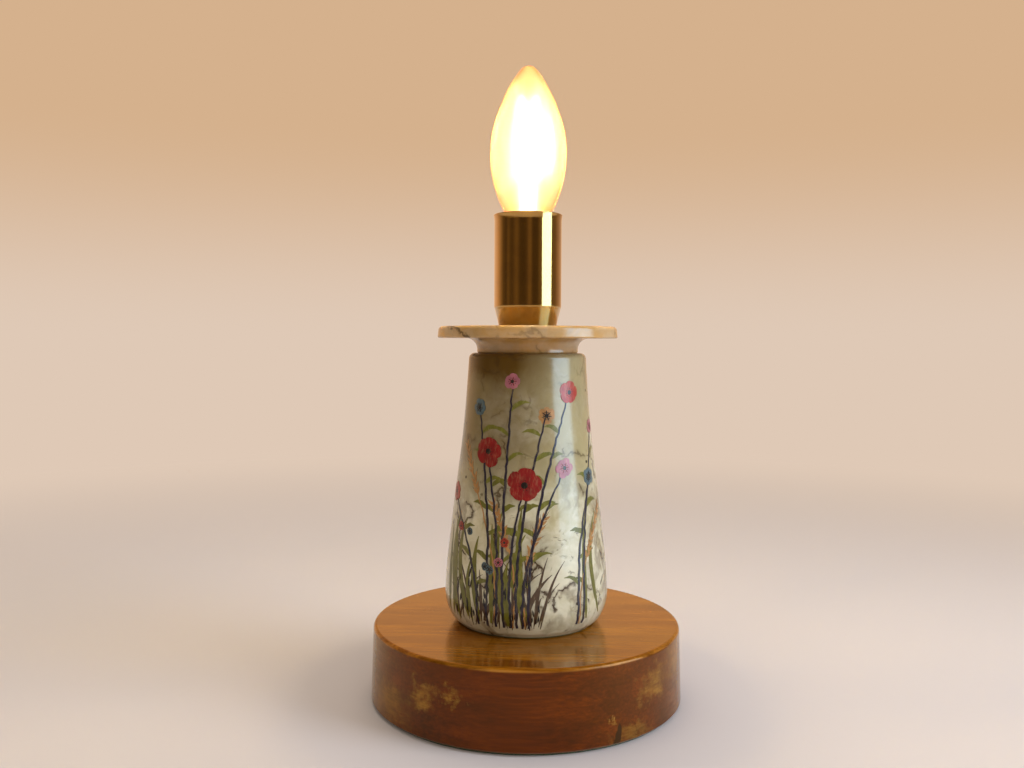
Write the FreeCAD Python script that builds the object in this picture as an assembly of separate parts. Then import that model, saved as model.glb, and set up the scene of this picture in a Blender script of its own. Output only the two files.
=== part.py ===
import FreeCAD, Part
import math
import os

from FreeCAD import Vector

# Electric table lamp, in millimetres, with +Z up.
# A turned alabaster column and its collar stand on a round wooden base. A threaded tube runs up
# through all three, and a nut in the base pulls the bulb holder down on them.
# The origin is the centre of the underside, on the table. The cord outlet faces +Y.

# Wooden base, its felt and its cover
base_bottom_radius = 72.2
base_top_radius = 71.2
base_thickness = 34.0
base_top_rounding = 1.6
base_foot_chamfer = 0.8
felt_thickness = 1.2
felt_inset = 2.2
felt_hole_margin = 1.0
cover_radius = 40.0
cover_thickness = 3.0
cover_clearance = 0.3
cover_screw_count = 3
cover_screw_start_deg = 30.0
cover_screw_length = 12.0
pocket_radius = 33.0
pocket_depth = 15.0
nut_recess_radius = 14.5
nut_recess_depth = 9.0

# Cord outlet in the back of the base
cord_hole_drop = 5.2
cord_bore_radius = 3.25
bush_wall = 1.25
bush_length = 14.0
bush_flange_radius = 7.0
bush_flange_thickness = 2.0
bush_setback = 0.3
bush_clearance = 0.1
bush_mouth_rounding = 0.8

# Threaded tube and what is screwed on it. The thread is drawn at its nominal diameter.
tube_radius = 5.0
tube_wall = 1.0
tube_hole_clearance = 0.25
thread_clearance = 0.03
tube_end_chamfer = 0.3
tube_end_past_nut = 0.8
base_nut_width = 14.0
base_nut_thickness = 3.5
base_washer_radius = 13.0
base_washer_thickness = 1.5
lock_washer_radius = 8.3
lock_washer_thickness = 1.2
lock_washer_slit = 1.2
lock_washer_slit_deg = -60.0
top_nut_width = 14.0
top_nut_thickness = 2.5
tube_end_past_top_nut = 0.2

# Chamfer of a hexagon nut: share of what stands out past its flats, and its slope
nut_chamfer = 0.9
nut_chamfer_slope = 0.6

# Alabaster column
gasket_thickness = 0.6
gasket_inset = 0.8
foot_radius = 32.0
foot_bevel_height = 2.0
foot_bevel_width = 2.2
belly_radius = 37.8
belly_height = 16.0
belly_fullness = (0.76, 0.38)
shoulder_radius = 27.2
shoulder_rounding = 2.7
column_height = 124.4
column_bore_radius = 7.0
spigot_seat_depth = 4.6

# The column's side above the belly: shares of the way in to the shoulder, and up to it
column_side = ((0, 0), (0.028, 0.07), (0.151, 0.19), (0.406, 0.41), (0.679, 0.62), (0.915, 0.87), (1, 1))

# Alabaster collar
spigot_radius = 11.8
spigot_clearance = 0.2
spigot_length = 4.0
neck_radius = 23.4
neck_chamfer = 0.5
neck_height = 6.8
neck_straight = 1.6
flange_radius = 41.7
flange_draft = 0.3
flange_thickness = 5.4
flange_top_rounding = 1.9
flange_lower_rounding = 0.7

# Brass bulb holder
cap_bottom_radius = 13.4
cap_top_radius = 15.57
cap_height = 9.9
cap_wall = 1.0
cap_floor = 1.2
cap_foot_chamfer = 0.4
cap_bead_height = 1.8
cap_bead_rise = 0.3
cap_bead_middle_height = 0.72
cap_bead_middle_drop = 0.06
sleeve_radius = 15.6
sleeve_wall = 0.8
sleeve_length = 41.7
sleeve_lip = 0.35
sleeve_lip_height = 3.0
sleeve_lip_middle_height = 1.6
sleeve_lip_middle = 0.14
sleeve_mouth_depth = 2.4
sleeve_spigot_radius = 13.9
sleeve_spigot_length = 3.4
sleeve_spigot_gap = 0.3
sleeve_fit = 0.05
liner_wall = 0.6
liner_gap = 0.1
liner_below_rim = 4.0
bracket_thickness = 1.2
bracket_plate_radius = 8.8
bracket_width = 6.0
bracket_past_screw = 2.2

# Porcelain insert with its terminals
insert_radius = 13.6
insert_height = 14.0
insert_floor = 2.6
insert_edge_rounding = 0.8
contact_room = 1.4
contact_below_rim = 29.4
insert_screw_circle = 10.8
insert_screw_sink = 0.6
insert_screw_past_bracket = 2.0
terminal_offset = 5.4
terminal_size = 4.6
terminal_depth = 5.0
terminal_height = 4.5
strip_thickness = 0.4
strip_width = 3.5
slot_clearance = 0.2
tongue_gap = 0.15
hinge_gap = 0.1

# Small screws: radius of the shank and head, height of the head. The rounded face of a head is
# given in shares of the head, and the point in shares of the shank.
small_screw_radius = 1.45
small_screw_head = 2.5
small_screw_head_height = 1.8
screw_clearance = 0.05
screw_slot_width = 0.7
screw_slot_depth = 0.8
screw_face_radius = 0.7
screw_face_height = 0.45
screw_point_radius = 0.3
clamp_screw_radius = 1.2
clamp_screw_head = 1.92
clamp_screw_head_height = 1.4
pilot_spare = 1.0

# Edison thread E14: a circle whose centre runs round a helix
thread_pitch = 2.822
thread_throw = 0.4
thread_run_out = 0.05
socket_thread_radius = 6.72
socket_mouth_gap = 0.3
socket_wall = 0.4
socket_ring_height = 1.5
bulb_thread_radius = 6.5
bulb_thread_length = 15.0
bulb_cap_wall = 0.5

# Candle bulb
bulb_length = 97.5
bulb_radius = 17.5
bulb_widest_below_tip = 39.1
bulb_tip_radius = 4.6
bulb_tip_angle = 35.0
glass_wall = 0.7
glass_neck_clearance = 0.2
glass_neck_height = 1.4
glass_below_skirt = 0.8
cap_skirt_radius = 8.5
cap_skirt_top = 25.0
cap_skirt_straight = 1.0
cap_neck_height = 1.4
contact_button_radius = 2.4
contact_button_height = 0.8
contact_rounding = ((0.5, 0), (0.86, 0.21), (1, 0.6))
insulator_height = 3.1
insulator_edge = 0.6
insulator_radius = 6.0
insulator_foot_radius = 2.9
insulator_boss_radius = 3.9
turning_clearance = 0.1
filament_count = 4
filament_radius = 0.9
filament_length = 36.0
filament_foot_circle = 6.5
filament_head_circle = 4.6
filament_above_stem = 1.5
frame_wire_radius = 0.4
frame_above_filaments = 2.0
frame_weld = 0.08
bulb_lead_offset = 0.9
stem_radius = 2.4
stem_height = 20.0
stem_wall = 0.8
stem_gap = 0.1
stem_flare_height = 6.5
stem_flare_inside = 5.0
stem_taper_height = 3.0
stem_tip_radius = 1.08
stem_solid_height = 4.0

# The candle's outline below and above its widest level: shares of the width, and of the way there
candle_below = ((0, 0), (0.36, 0.15), (0.71, 0.41), (0.92, 0.66))
candle_above = ((1, 0), (0.945, 0.27), (0.79, 0.53), (0.585, 0.78))

# Driver board inside the bulb's cap
board_clearance = 0.2
board_floor_gap = 0.1
board_thickness = 1.0
capacitor_radius = 1.9
capacitor_height = 6.5
capacitor_above_floor = 3.0
capacitor_offset = 2.3
rectifier_width = 4.0
rectifier_depth = 1.7
rectifier_height = 4.5
rectifier_above_floor = 4.0

# Terminal block in the base
block_width = 18.0
block_length = 15.0
block_height = 9.0
block_corner_radius = 1.5
block_offset = 19.5
block_screw_length = 13.5
block_chimney_radius = 2.9
block_chimney_height = 3.5
pole_spacing = 9.6
clamp_tube_radius = 2.6
clamp_tube_bore = 1.3
clamp_tube_length = 13.0
clamp_axis_drop = 5.0
clamp_screw_spacing = 7.0

# Inner leads, from the terminal block up the tube to the holder
lead_radius = 1.1
conductor_radius = 0.5
conductor_length = 3.0
conductor_in_clamp = 5.0
wire_hole_spare = 0.5
lead_spacing = 3.2
lead_largest_bend = 7.8
lead_clamp_gap = 0.2
lead_terminal_gap = 0.3
lead_straight = 2.6
lead_held_in_tube = 2.0

# Levels, from the table up
base_underside_z = felt_thickness
base_top_z = base_underside_z + base_thickness
cover_top_z = base_underside_z + cover_thickness
pocket_ceiling_z = cover_top_z + pocket_depth
nut_recess_z = pocket_ceiling_z + nut_recess_depth
washer_bottom_z = nut_recess_z - base_washer_thickness
lock_washer_bottom_z = washer_bottom_z - lock_washer_thickness
base_nut_bottom_z = lock_washer_bottom_z - base_nut_thickness
tube_bottom_z = base_nut_bottom_z - tube_end_past_nut
column_bottom_z = base_top_z + gasket_thickness
column_top_z = column_bottom_z + column_height
flange_bottom_z = column_top_z + neck_height
collar_top_z = flange_bottom_z + flange_thickness
cap_floor_z = collar_top_z + cap_floor
cap_top_z = collar_top_z + cap_height
bracket_plate_top_z = cap_floor_z + bracket_thickness
top_nut_top_z = bracket_plate_top_z + top_nut_thickness
tube_top_z = top_nut_top_z + tube_end_past_top_nut
sleeve_top_z = cap_top_z + sleeve_length
sleeve_step_z = cap_top_z + sleeve_wall

# Levels inside the holder, from the rim down to the terminals
bulb_contact_z = sleeve_top_z - contact_below_rim
tongue_top_z = bulb_contact_z - tongue_gap
tongue_bottom_z = tongue_top_z - strip_thickness
insert_floor_z = bulb_contact_z - contact_room - hinge_gap
insert_bottom_z = insert_floor_z - insert_floor
insert_top_z = insert_bottom_z + insert_height
insert_screw_seat_z = insert_top_z - small_screw_head_height - insert_screw_sink
socket_bottom_z = bulb_contact_z - hinge_gap
socket_thread_z = socket_bottom_z + socket_ring_height
terminal_bottom_z = insert_bottom_z - terminal_height
insulator_bottom_z = bulb_contact_z + contact_button_height
bulb_thread_z = insulator_bottom_z + insulator_height
bulb_thread_top_z = bulb_thread_z + bulb_thread_length
socket_top_z = bulb_thread_top_z - socket_mouth_gap
skirt_top_z = bulb_contact_z + cap_skirt_top
bulb_tip_z = bulb_contact_z + bulb_length
glass_bottom_z = skirt_top_z - glass_below_skirt
stem_top_z = skirt_top_z + stem_height
stem_hollow_top_z = stem_top_z - stem_solid_height

# Fits that follow from the sizes above
tube_hole_radius = tube_radius + tube_hole_clearance
nut_hole_radius = tube_radius + thread_clearance
cord_hole_z = pocket_ceiling_z - cord_hole_drop
bush_radius = cord_bore_radius + bush_wall
cord_side_radius = base_bottom_radius - (base_bottom_radius - base_top_radius) * (
    cord_hole_z - base_underside_z) / base_thickness
bush_flange_y = cord_side_radius - bush_setback - bush_flange_thickness
cover_screw_circle = (pocket_radius + cover_radius) / 2
screw_hole_radius = small_screw_radius + screw_clearance
clamp_axis_z = pocket_ceiling_z - clamp_axis_drop
block_front_y = block_offset - block_length / 2
liner_radius = sleeve_radius - sleeve_wall - liner_gap
socket_seat_radius = socket_thread_radius + thread_throw + socket_wall + slot_clearance
contact_room_radius = socket_thread_radius + slot_clearance
strip_x = terminal_offset - strip_thickness
bracket_leg_y = bracket_plate_radius - bracket_thickness
shell_tab_x = socket_seat_radius - slot_clearance - strip_thickness
glass_neck_radius = cap_skirt_radius - bulb_cap_wall - glass_neck_clearance

up = Vector(0, 0, 1)
axis_start = Vector(0, 0, 0)


# A body of revolution about Z. Each step is a point (r, z), an arc as three points,
# or a smooth curve as four points or more. Straight lines join the steps.
def turned(steps):
    edges = []
    first = None
    last = None
    for step in steps:
        pairs = step if isinstance(step[0], tuple) else (step,)
        points = [Vector(r, 0, z) for r, z in pairs]
        if last is not None and last.distanceToPoint(points[0]) > 1e-6:
            edges.append(Part.LineSegment(last, points[0]).toShape())
        if len(points) == 3:
            edges.append(Part.Arc(*points).toShape())
        elif len(points) > 3:
            curve = Part.BSplineCurve()
            curve.interpolate(points)
            edges.append(curve.toShape())
        if first is None:
            first = points[0]
        last = points[-1]
    edges.append(Part.LineSegment(last, first).toShape())
    solid = Part.Face(Part.Wire(edges)).revolve(axis_start, up, 360)
    return upright(solid)


# A revolved or swept solid can come out inside out
def upright(solid):
    if solid.Volume < 0:
        solid.reverse()
    return solid


# Three points of a round corner in a turned outline
def corner(centre_r, centre_z, radius, start_deg, end_deg):
    angles = [start_deg, (start_deg + end_deg) / 2, end_deg]
    return tuple((centre_r + radius * math.cos(math.radians(a)), centre_z + radius * math.sin(math.radians(a)))
                 for a in angles)


def disc(radius, bottom, height, x=0.0, y=0.0):
    return Part.makeCylinder(radius, height, Vector(x, y, bottom), up)


def ring(outer, inner, bottom, height):
    return disc(outer, bottom, height).cut(disc(inner, bottom, height))


def block(x0, x1, y0, y1, z0, z1):
    return Part.makeBox(x1 - x0, y1 - y0, z1 - z0, Vector(x0, y0, z0))


def rod(start, end, radius):
    direction = end.sub(start)
    return Part.makeCylinder(radius, direction.Length, start, direction)


def copies_round(shape, count, start_deg=0.0):
    turned_copies = []
    for index in range(count):
        turned_copy = shape.copy()
        turned_copy.rotate(axis_start, up, start_deg + 360.0 * index / count)
        turned_copies.append(turned_copy)
    return turned_copies


def mirrored_in_x(shape):
    return shape.mirror(axis_start, Vector(1, 0, 0))


# A screw that stands head down at the origin, with a slot across the head
def slotted_screw(shank_radius, length, head_radius, head_height, countersunk=False):
    if countersunk:
        head = Part.makeCone(head_radius, shank_radius, head_height)
    else:
        head = turned([(0, 0), (head_radius * screw_face_radius, 0),
                       (head_radius, head_height * screw_face_height),
                       (head_radius, head_height), (0, head_height)])
    shank = disc(shank_radius, head_height, length - shank_radius)
    point = Part.makeCone(shank_radius, shank_radius * screw_point_radius, shank_radius,
                          Vector(0, 0, head_height + length - shank_radius), up)
    slot = block(-head_radius, head_radius, -screw_slot_width / 2, screw_slot_width / 2, 0, screw_slot_depth)
    return head.fuse([shank, point]).removeSplitter().cut(slot)


def hex_nut(width, thickness, bottom, hole_radius):
    corner_radius = width / math.sqrt(3)
    points = [Vector(corner_radius * math.cos(math.radians(60 * i)),
                     corner_radius * math.sin(math.radians(60 * i)), bottom) for i in range(7)]
    prism = Part.Face(Part.makePolygon(points)).extrude(Vector(0, 0, thickness))
    chamfer = (corner_radius - width / 2) * nut_chamfer
    chamfer_height = chamfer * nut_chamfer_slope
    barrel = turned([(0, bottom), (corner_radius - chamfer, bottom), (corner_radius, bottom + chamfer_height),
                     (corner_radius, bottom + thickness - chamfer_height),
                     (corner_radius - chamfer, bottom + thickness), (0, bottom + thickness)])
    return prism.common(barrel).cut(disc(hole_radius, bottom, thickness))


# The outer skin of an Edison thread: a circle of the mean radius, swept along a thin helix
def edison_thread(mean_radius, bottom, height):
    helix = Part.makeHelix(thread_pitch, height, thread_throw)
    section = Part.Wire([Part.makeCircle(mean_radius, Vector(thread_throw, 0, 0), up)])
    sweep = Part.BRepOffsetAPI.MakePipeShell(Part.Wire(helix.Edges))
    sweep.setTrihedronMode(axis_start, up)
    sweep.add(section, False, False)
    sweep.build()
    sweep.makeSolid()
    solid = upright(sweep.shape())
    solid.translate(Vector(0, 0, bottom))
    solid.rotate(axis_start, up, 360.0 * bottom / thread_pitch)
    return solid


# A path of straight runs joined by tangent arcs, and the radii of those arcs
def rounded_path(points, radii):
    edges = []
    last = points[0]
    for before, point, after, wanted in zip(points, points[1:], points[2:], radii):
        arriving = point.sub(before)
        leaving = after.sub(point)
        half_turn = arriving.getAngle(leaving) / 2
        room = 0.98 * min(arriving.Length, leaving.Length)
        reach = min(wanted * math.tan(half_turn), room)
        start = point.sub(arriving.normalize() * reach)
        end = point.add(leaving.normalize() * reach)
        inward = leaving.sub(arriving).normalize()
        radius = reach / math.tan(half_turn)
        middle = point.add(inward * (radius / math.cos(half_turn) - radius))
        edges.append(Part.LineSegment(last, start).toShape())
        edges.append(Part.Arc(start, middle, end).toShape())
        print("lead bend of radius %.1f mm" % radius)
        last = end
    edges.append(Part.LineSegment(last, points[-1]).toShape())
    return Part.Wire(edges)


def felt_pad():
    return ring(base_bottom_radius - felt_inset, cover_radius + felt_hole_margin, 0, felt_thickness)


def cover_screw():
    screw = slotted_screw(small_screw_radius, cover_screw_length, small_screw_head, small_screw_head_height,
                          countersunk=True)
    screw.translate(Vector(cover_screw_circle, 0, base_underside_z))
    return screw


def base_cover():
    cover = disc(cover_radius, base_underside_z, cover_thickness)
    hole = disc(screw_hole_radius, base_underside_z, cover_thickness, cover_screw_circle)
    sink = Part.makeCone(small_screw_head + screw_clearance, screw_hole_radius, small_screw_head_height,
                         Vector(cover_screw_circle, 0, base_underside_z), up)
    return cover.cut(copies_round(hole.fuse(sink), cover_screw_count, cover_screw_start_deg))


def base_cover_screws():
    return Part.makeCompound(copies_round(cover_screw(), cover_screw_count, cover_screw_start_deg))


def wood_base():
    outside = turned([
        (0, base_underside_z),
        (base_bottom_radius - base_foot_chamfer, base_underside_z),
        (base_bottom_radius, base_underside_z + base_foot_chamfer),
        corner(base_top_radius - base_top_rounding, base_top_z - base_top_rounding, base_top_rounding, 0, 90),
        (0, base_top_z)])
    rebate = disc(cover_radius + cover_clearance, base_underside_z, cover_thickness)
    pocket = disc(pocket_radius, cover_top_z, pocket_depth)
    nut_recess = disc(nut_recess_radius, pocket_ceiling_z, nut_recess_depth)
    tube_hole = disc(tube_hole_radius, nut_recess_z, base_top_z - nut_recess_z)
    cord_hole = Part.makeCylinder(bush_radius + bush_clearance, base_bottom_radius,
                                  Vector(0, pocket_radius / 2, cord_hole_z), Vector(0, 1, 0))
    spot_face = Part.makeCylinder(bush_flange_radius + bush_clearance, base_bottom_radius,
                                  Vector(0, bush_flange_y, cord_hole_z), Vector(0, 1, 0))
    pilot = disc(screw_hole_radius, cover_top_z, cover_screw_length, cover_screw_circle)
    block_pilot = disc(screw_hole_radius, pocket_ceiling_z, block_screw_length - block_height + pilot_spare,
                       0, block_offset)
    holes = [rebate, pocket, nut_recess, tube_hole, cord_hole, spot_face, block_pilot]
    return outside.cut(holes + copies_round(pilot, cover_screw_count, cover_screw_start_deg))


# The flanged bush that lines the cord's hole, turned on Z and then laid along +Y
def cord_bush():
    top = bush_flange_thickness
    mouth = bush_mouth_rounding
    bush = turned([
        (cord_bore_radius, -bush_length),
        (bush_radius, -bush_length),
        (bush_radius, 0),
        (bush_flange_radius, 0),
        corner(bush_flange_radius - top / 2, top / 2, top / 2, 0, 90),
        corner(cord_bore_radius + mouth, top - mouth, mouth, 90, 180)])
    bush.rotate(axis_start, Vector(1, 0, 0), -90)
    bush.translate(Vector(0, bush_flange_y, cord_hole_z))
    return bush


# Places of the four clamp screws of the terminal block
def clamp_screw_places():
    return [(side * pole_spacing / 2, block_offset + end * clamp_screw_spacing / 2)
            for side in (-1, 1) for end in (-1, 1)]


def terminal_block():
    bottom = pocket_ceiling_z - block_height
    body = block(-block_width / 2, block_width / 2, block_front_y, block_front_y + block_length,
                 bottom, pocket_ceiling_z)
    upright_edges = [edge for edge in body.Edges if abs(edge.tangentAt(edge.FirstParameter).z) > 0.9]
    body = body.makeFillet(block_corner_radius, upright_edges)
    holes = []
    for x, y in clamp_screw_places():
        body = body.fuse(disc(block_chimney_radius, bottom - block_chimney_height, block_chimney_height, x, y))
        holes.append(disc(clamp_screw_radius + slot_clearance, bottom - block_chimney_height,
                          clamp_axis_z - bottom + block_chimney_height, x, y))
    for side in (-1, 1):
        holes.append(Part.makeCylinder(clamp_tube_radius + screw_clearance, block_length,
                                       Vector(side * pole_spacing / 2, block_front_y, clamp_axis_z),
                                       Vector(0, 1, 0)))
    holes.append(disc(screw_hole_radius, bottom, block_height, 0, block_offset))
    return body.removeSplitter().cut(holes)


def terminal_block_clamps():
    clamps = []
    for side in (-1, 1):
        start = Vector(side * pole_spacing / 2, block_offset - clamp_tube_length / 2, clamp_axis_z)
        end = start.add(Vector(0, clamp_tube_length, 0))
        tube = rod(start, end, clamp_tube_radius).cut(rod(start, end, clamp_tube_bore))
        threads = [disc(clamp_screw_radius + thread_clearance, clamp_axis_z - clamp_tube_radius,
                        clamp_tube_radius, x, y) for x, y in clamp_screw_places()]
        clamps.append(tube.cut(threads))
    return Part.makeCompound(clamps)


# Grub screws whose tips press on the conductor
def terminal_block_screws():
    bottom = pocket_ceiling_z - block_height - block_chimney_height + screw_slot_depth
    screws = []
    for x, y in clamp_screw_places():
        length = clamp_axis_z - conductor_radius - bottom
        screw = disc(clamp_screw_radius, bottom, length, x, y)
        slot = block(x - clamp_screw_radius, x + clamp_screw_radius, y - screw_slot_width / 2,
                     y + screw_slot_width / 2, bottom, bottom + screw_slot_depth)
        screws.append(screw.cut(slot))
    return Part.makeCompound(screws)


def block_fixing_screw():
    screw = slotted_screw(small_screw_radius, block_screw_length, small_screw_head, small_screw_head_height)
    screw.translate(Vector(0, block_offset, pocket_ceiling_z - block_height - small_screw_head_height))
    return screw


def base_nut():
    return hex_nut(base_nut_width, base_nut_thickness, base_nut_bottom_z, nut_hole_radius)


def base_lock_washer():
    washer = ring(lock_washer_radius, tube_hole_radius, lock_washer_bottom_z, lock_washer_thickness)
    slit = block(0, lock_washer_radius, -lock_washer_slit / 2, lock_washer_slit / 2,
                 lock_washer_bottom_z, washer_bottom_z)
    slit.rotate(axis_start, up, lock_washer_slit_deg)
    return washer.cut(slit)


def base_washer():
    return ring(base_washer_radius, tube_hole_radius, washer_bottom_z, base_washer_thickness)


def threaded_tube():
    inner = tube_radius - tube_wall
    edge = tube_end_chamfer
    return turned([
        (inner, tube_bottom_z),
        (tube_radius - edge, tube_bottom_z),
        (tube_radius, tube_bottom_z + edge),
        (tube_radius, tube_top_z - edge),
        (tube_radius - edge, tube_top_z),
        (inner, tube_top_z)])


def foot_gasket():
    return ring(foot_radius - gasket_inset, column_bore_radius, base_top_z, gasket_thickness)


# The column tapers upward in a faint hollow curve above a rounded belly
def alabaster_body():
    bevel_r = foot_radius + foot_bevel_width
    bevel_z = column_bottom_z + foot_bevel_height
    belly_z = column_bottom_z + belly_height
    shoulder_z = column_top_z - shoulder_rounding
    seat_z = column_top_z - spigot_seat_depth
    seat_radius = spigot_radius + spigot_clearance
    taper = belly_radius - shoulder_radius
    rise = shoulder_z - belly_z
    side = tuple((belly_radius - taper * inward, belly_z + rise * upward) for inward, upward in column_side)
    full_r, full_z = belly_fullness
    belly = ((bevel_r, bevel_z),
             (bevel_r + (belly_radius - bevel_r) * full_r, bevel_z + (belly_z - bevel_z) * full_z),
             (belly_radius, belly_z))
    return turned([
        (column_bore_radius, column_bottom_z),
        (foot_radius, column_bottom_z),
        belly,
        side,
        corner(shoulder_radius - shoulder_rounding, shoulder_z, shoulder_rounding, 0, 90),
        (seat_radius, column_top_z),
        (seat_radius, seat_z),
        (column_bore_radius, seat_z)])


def alabaster_collar():
    cove = neck_height - neck_straight
    cove_z = flange_bottom_z - cove
    return turned([
        (tube_hole_radius, column_top_z - spigot_length),
        (spigot_radius, column_top_z - spigot_length),
        (spigot_radius, column_top_z),
        (neck_radius - neck_chamfer, column_top_z),
        (neck_radius, column_top_z + neck_chamfer),
        corner(neck_radius + cove, cove_z, cove, 180, 90),
        corner(flange_radius - flange_lower_rounding, flange_bottom_z + flange_lower_rounding,
               flange_lower_rounding, -90, 0),
        corner(flange_radius - flange_draft - flange_top_rounding, collar_top_z - flange_top_rounding,
               flange_top_rounding, 0, 90),
        (tube_hole_radius, collar_top_z)])


def holder_cap():
    edge = cap_foot_chamfer
    bead_z = cap_top_z - cap_bead_height
    bead_r = cap_top_radius - cap_bead_rise
    slope = (bead_r - cap_bottom_radius) / (bead_z - collar_top_z - edge)
    fit_radius = sleeve_spigot_radius + sleeve_fit
    fit_z = cap_top_z - sleeve_spigot_length - sleeve_spigot_gap
    inner_low = cap_bottom_radius + slope * (cap_floor - edge) - cap_wall
    inner_high = min(cap_bottom_radius + slope * (fit_z - collar_top_z - edge) - cap_wall, fit_radius)
    return turned([
        (tube_hole_radius, collar_top_z),
        (cap_bottom_radius - edge, collar_top_z),
        (cap_bottom_radius, collar_top_z + edge),
        ((bead_r, bead_z), (cap_top_radius - cap_bead_middle_drop, bead_z + cap_bead_middle_height),
         (cap_top_radius, cap_top_z)),
        (fit_radius, cap_top_z),
        (fit_radius, fit_z),
        (inner_high, fit_z),
        (inner_low, cap_floor_z),
        (tube_hole_radius, cap_floor_z)])


def holder_sleeve():
    inner = sleeve_radius - sleeve_wall
    spigot_inner = sleeve_spigot_radius - sleeve_wall
    lip = sleeve_wall / 2
    return turned([
        (spigot_inner, cap_top_z - sleeve_spigot_length),
        (sleeve_spigot_radius, cap_top_z - sleeve_spigot_length),
        (sleeve_spigot_radius, cap_top_z),
        (sleeve_radius, cap_top_z),
        ((sleeve_radius, sleeve_top_z - sleeve_lip_height),
         (sleeve_radius + sleeve_lip_middle, sleeve_top_z - sleeve_lip_middle_height),
         (sleeve_radius + sleeve_lip, sleeve_top_z - lip)),
        corner(sleeve_radius + sleeve_lip - lip, sleeve_top_z - lip, lip, 0, 180),
        (inner, sleeve_top_z - sleeve_mouth_depth),
        (inner, sleeve_step_z),
        (spigot_inner, sleeve_step_z)])


def holder_liner():
    height = sleeve_top_z - liner_below_rim - sleeve_step_z
    return ring(liner_radius, liner_radius - liner_wall, sleeve_step_z, height)


# A steel strap that the top nut holds down and that carries the insert on two ears
def holder_bracket():
    plate = disc(bracket_plate_radius, cap_floor_z, bracket_thickness)
    half = bracket_width / 2
    ear_end = insert_screw_circle + bracket_past_screw
    leg = block(-half, half, bracket_leg_y, bracket_plate_radius, cap_floor_z, insert_bottom_z)
    ear = block(-half, half, bracket_leg_y, ear_end, insert_bottom_z - bracket_thickness, insert_bottom_z)
    thread = disc(screw_hole_radius, insert_bottom_z - bracket_thickness, bracket_thickness,
                  0, insert_screw_circle)
    side = leg.fuse(ear).cut(thread)
    far_side = side.copy()
    far_side.rotate(axis_start, up, 180)
    whole = plate.fuse([side, far_side]).removeSplitter()
    return whole.cut(disc(tube_hole_radius, cap_floor_z, bracket_thickness))


def top_nut():
    return hex_nut(top_nut_width, top_nut_thickness, bracket_plate_top_z, nut_hole_radius)


def porcelain_insert():
    body = disc(insert_radius, insert_bottom_z, insert_height)
    top_edge = [edge for edge in body.Edges if edge.Closed and edge.BoundBox.ZMin > insert_top_z - 0.01]
    body = body.makeFillet(insert_edge_rounding, top_edge)
    half = strip_width / 2 + slot_clearance
    contact_space = disc(contact_room_radius, insert_floor_z, insert_height)
    socket_space = disc(socket_seat_radius, socket_bottom_z, insert_height)
    strip_slot = block(strip_x - slot_clearance, terminal_offset + slot_clearance, -half, half,
                       insert_bottom_z, insert_floor_z)
    tab_slot = block(-shell_tab_x - strip_thickness - slot_clearance / 2, -shell_tab_x + slot_clearance / 2,
                     -half, half, insert_bottom_z, socket_bottom_z)
    holes = [contact_space, socket_space, strip_slot, tab_slot]
    for side in (-1, 1):
        holes.append(disc(screw_hole_radius, insert_bottom_z, insert_height, 0, side * insert_screw_circle))
        holes.append(disc(small_screw_head + screw_clearance, insert_screw_seat_z, insert_height,
                          0, side * insert_screw_circle))
    return body.cut(holes)


def insert_screws():
    length = insert_screw_seat_z - insert_bottom_z + bracket_thickness + insert_screw_past_bracket
    screw = slotted_screw(small_screw_radius, length, small_screw_head, small_screw_head_height)
    screw.rotate(axis_start, Vector(1, 0, 0), 180)
    screw.translate(Vector(0, insert_screw_circle, insert_screw_seat_z + small_screw_head_height))
    return Part.makeCompound(copies_round(screw, 2))


# A brass pillar with a hole for the conductor below and one for its screw on the outside
def terminal_pillar():
    half = terminal_size / 2
    pillar = block(terminal_offset - half, terminal_offset + half, -terminal_depth / 2, terminal_depth / 2,
                   terminal_bottom_z, insert_bottom_z)
    wire_hole = disc(conductor_radius + slot_clearance, terminal_bottom_z, conductor_length + wire_hole_spare,
                     terminal_offset)
    screw_z = terminal_bottom_z + terminal_height / 2
    screw_hole = rod(Vector(terminal_offset, 0, screw_z), Vector(terminal_offset + half, 0, screw_z),
                     clamp_screw_radius + thread_clearance)
    return pillar.cut([wire_hole, screw_hole])


# The live pillar carries a strip that stands up through the insert's floor
def live_terminal():
    strip = block(strip_x, terminal_offset, -strip_width / 2, strip_width / 2,
                  insert_bottom_z, tongue_bottom_z - hinge_gap)
    return terminal_pillar().fuse(strip)


def neutral_terminal():
    return mirrored_in_x(terminal_pillar())


def terminal_screws():
    length = terminal_size / 2 - conductor_radius
    screw = slotted_screw(clamp_screw_radius, length, clamp_screw_head, clamp_screw_head_height)
    screw.rotate(axis_start, Vector(0, 1, 0), -90)
    screw.translate(Vector(terminal_offset + terminal_size / 2 + clamp_screw_head_height, 0,
                           terminal_bottom_z + terminal_height / 2))
    return Part.makeCompound([screw, mirrored_in_x(screw)])


# The sprung tongue that presses up on the bulb's contact. It bends at its root, over the strip.
def contact_tongue():
    half = strip_width / 2
    tongue = block(0, terminal_offset, -half, half, tongue_bottom_z, tongue_top_z)
    return tongue.fuse(disc(half, tongue_bottom_z, strip_thickness)).removeSplitter()


def screw_shell():
    length = socket_top_z - socket_thread_z
    outer = edison_thread(socket_thread_radius + socket_wall, socket_thread_z, length)
    inner = edison_thread(socket_thread_radius, socket_thread_z, length)
    thread = outer.cut(inner)
    low = socket_thread_radius - thread_throw - thread_run_out
    high = socket_thread_radius + socket_wall + thread_throw + thread_run_out
    foot = ring(high, low, socket_bottom_z, socket_ring_height)
    tab = block(-shell_tab_x - strip_thickness, -shell_tab_x, -strip_width / 2, strip_width / 2,
                insert_bottom_z, socket_bottom_z + socket_ring_height / 2)
    return thread.fuse([foot, tab])


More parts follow.
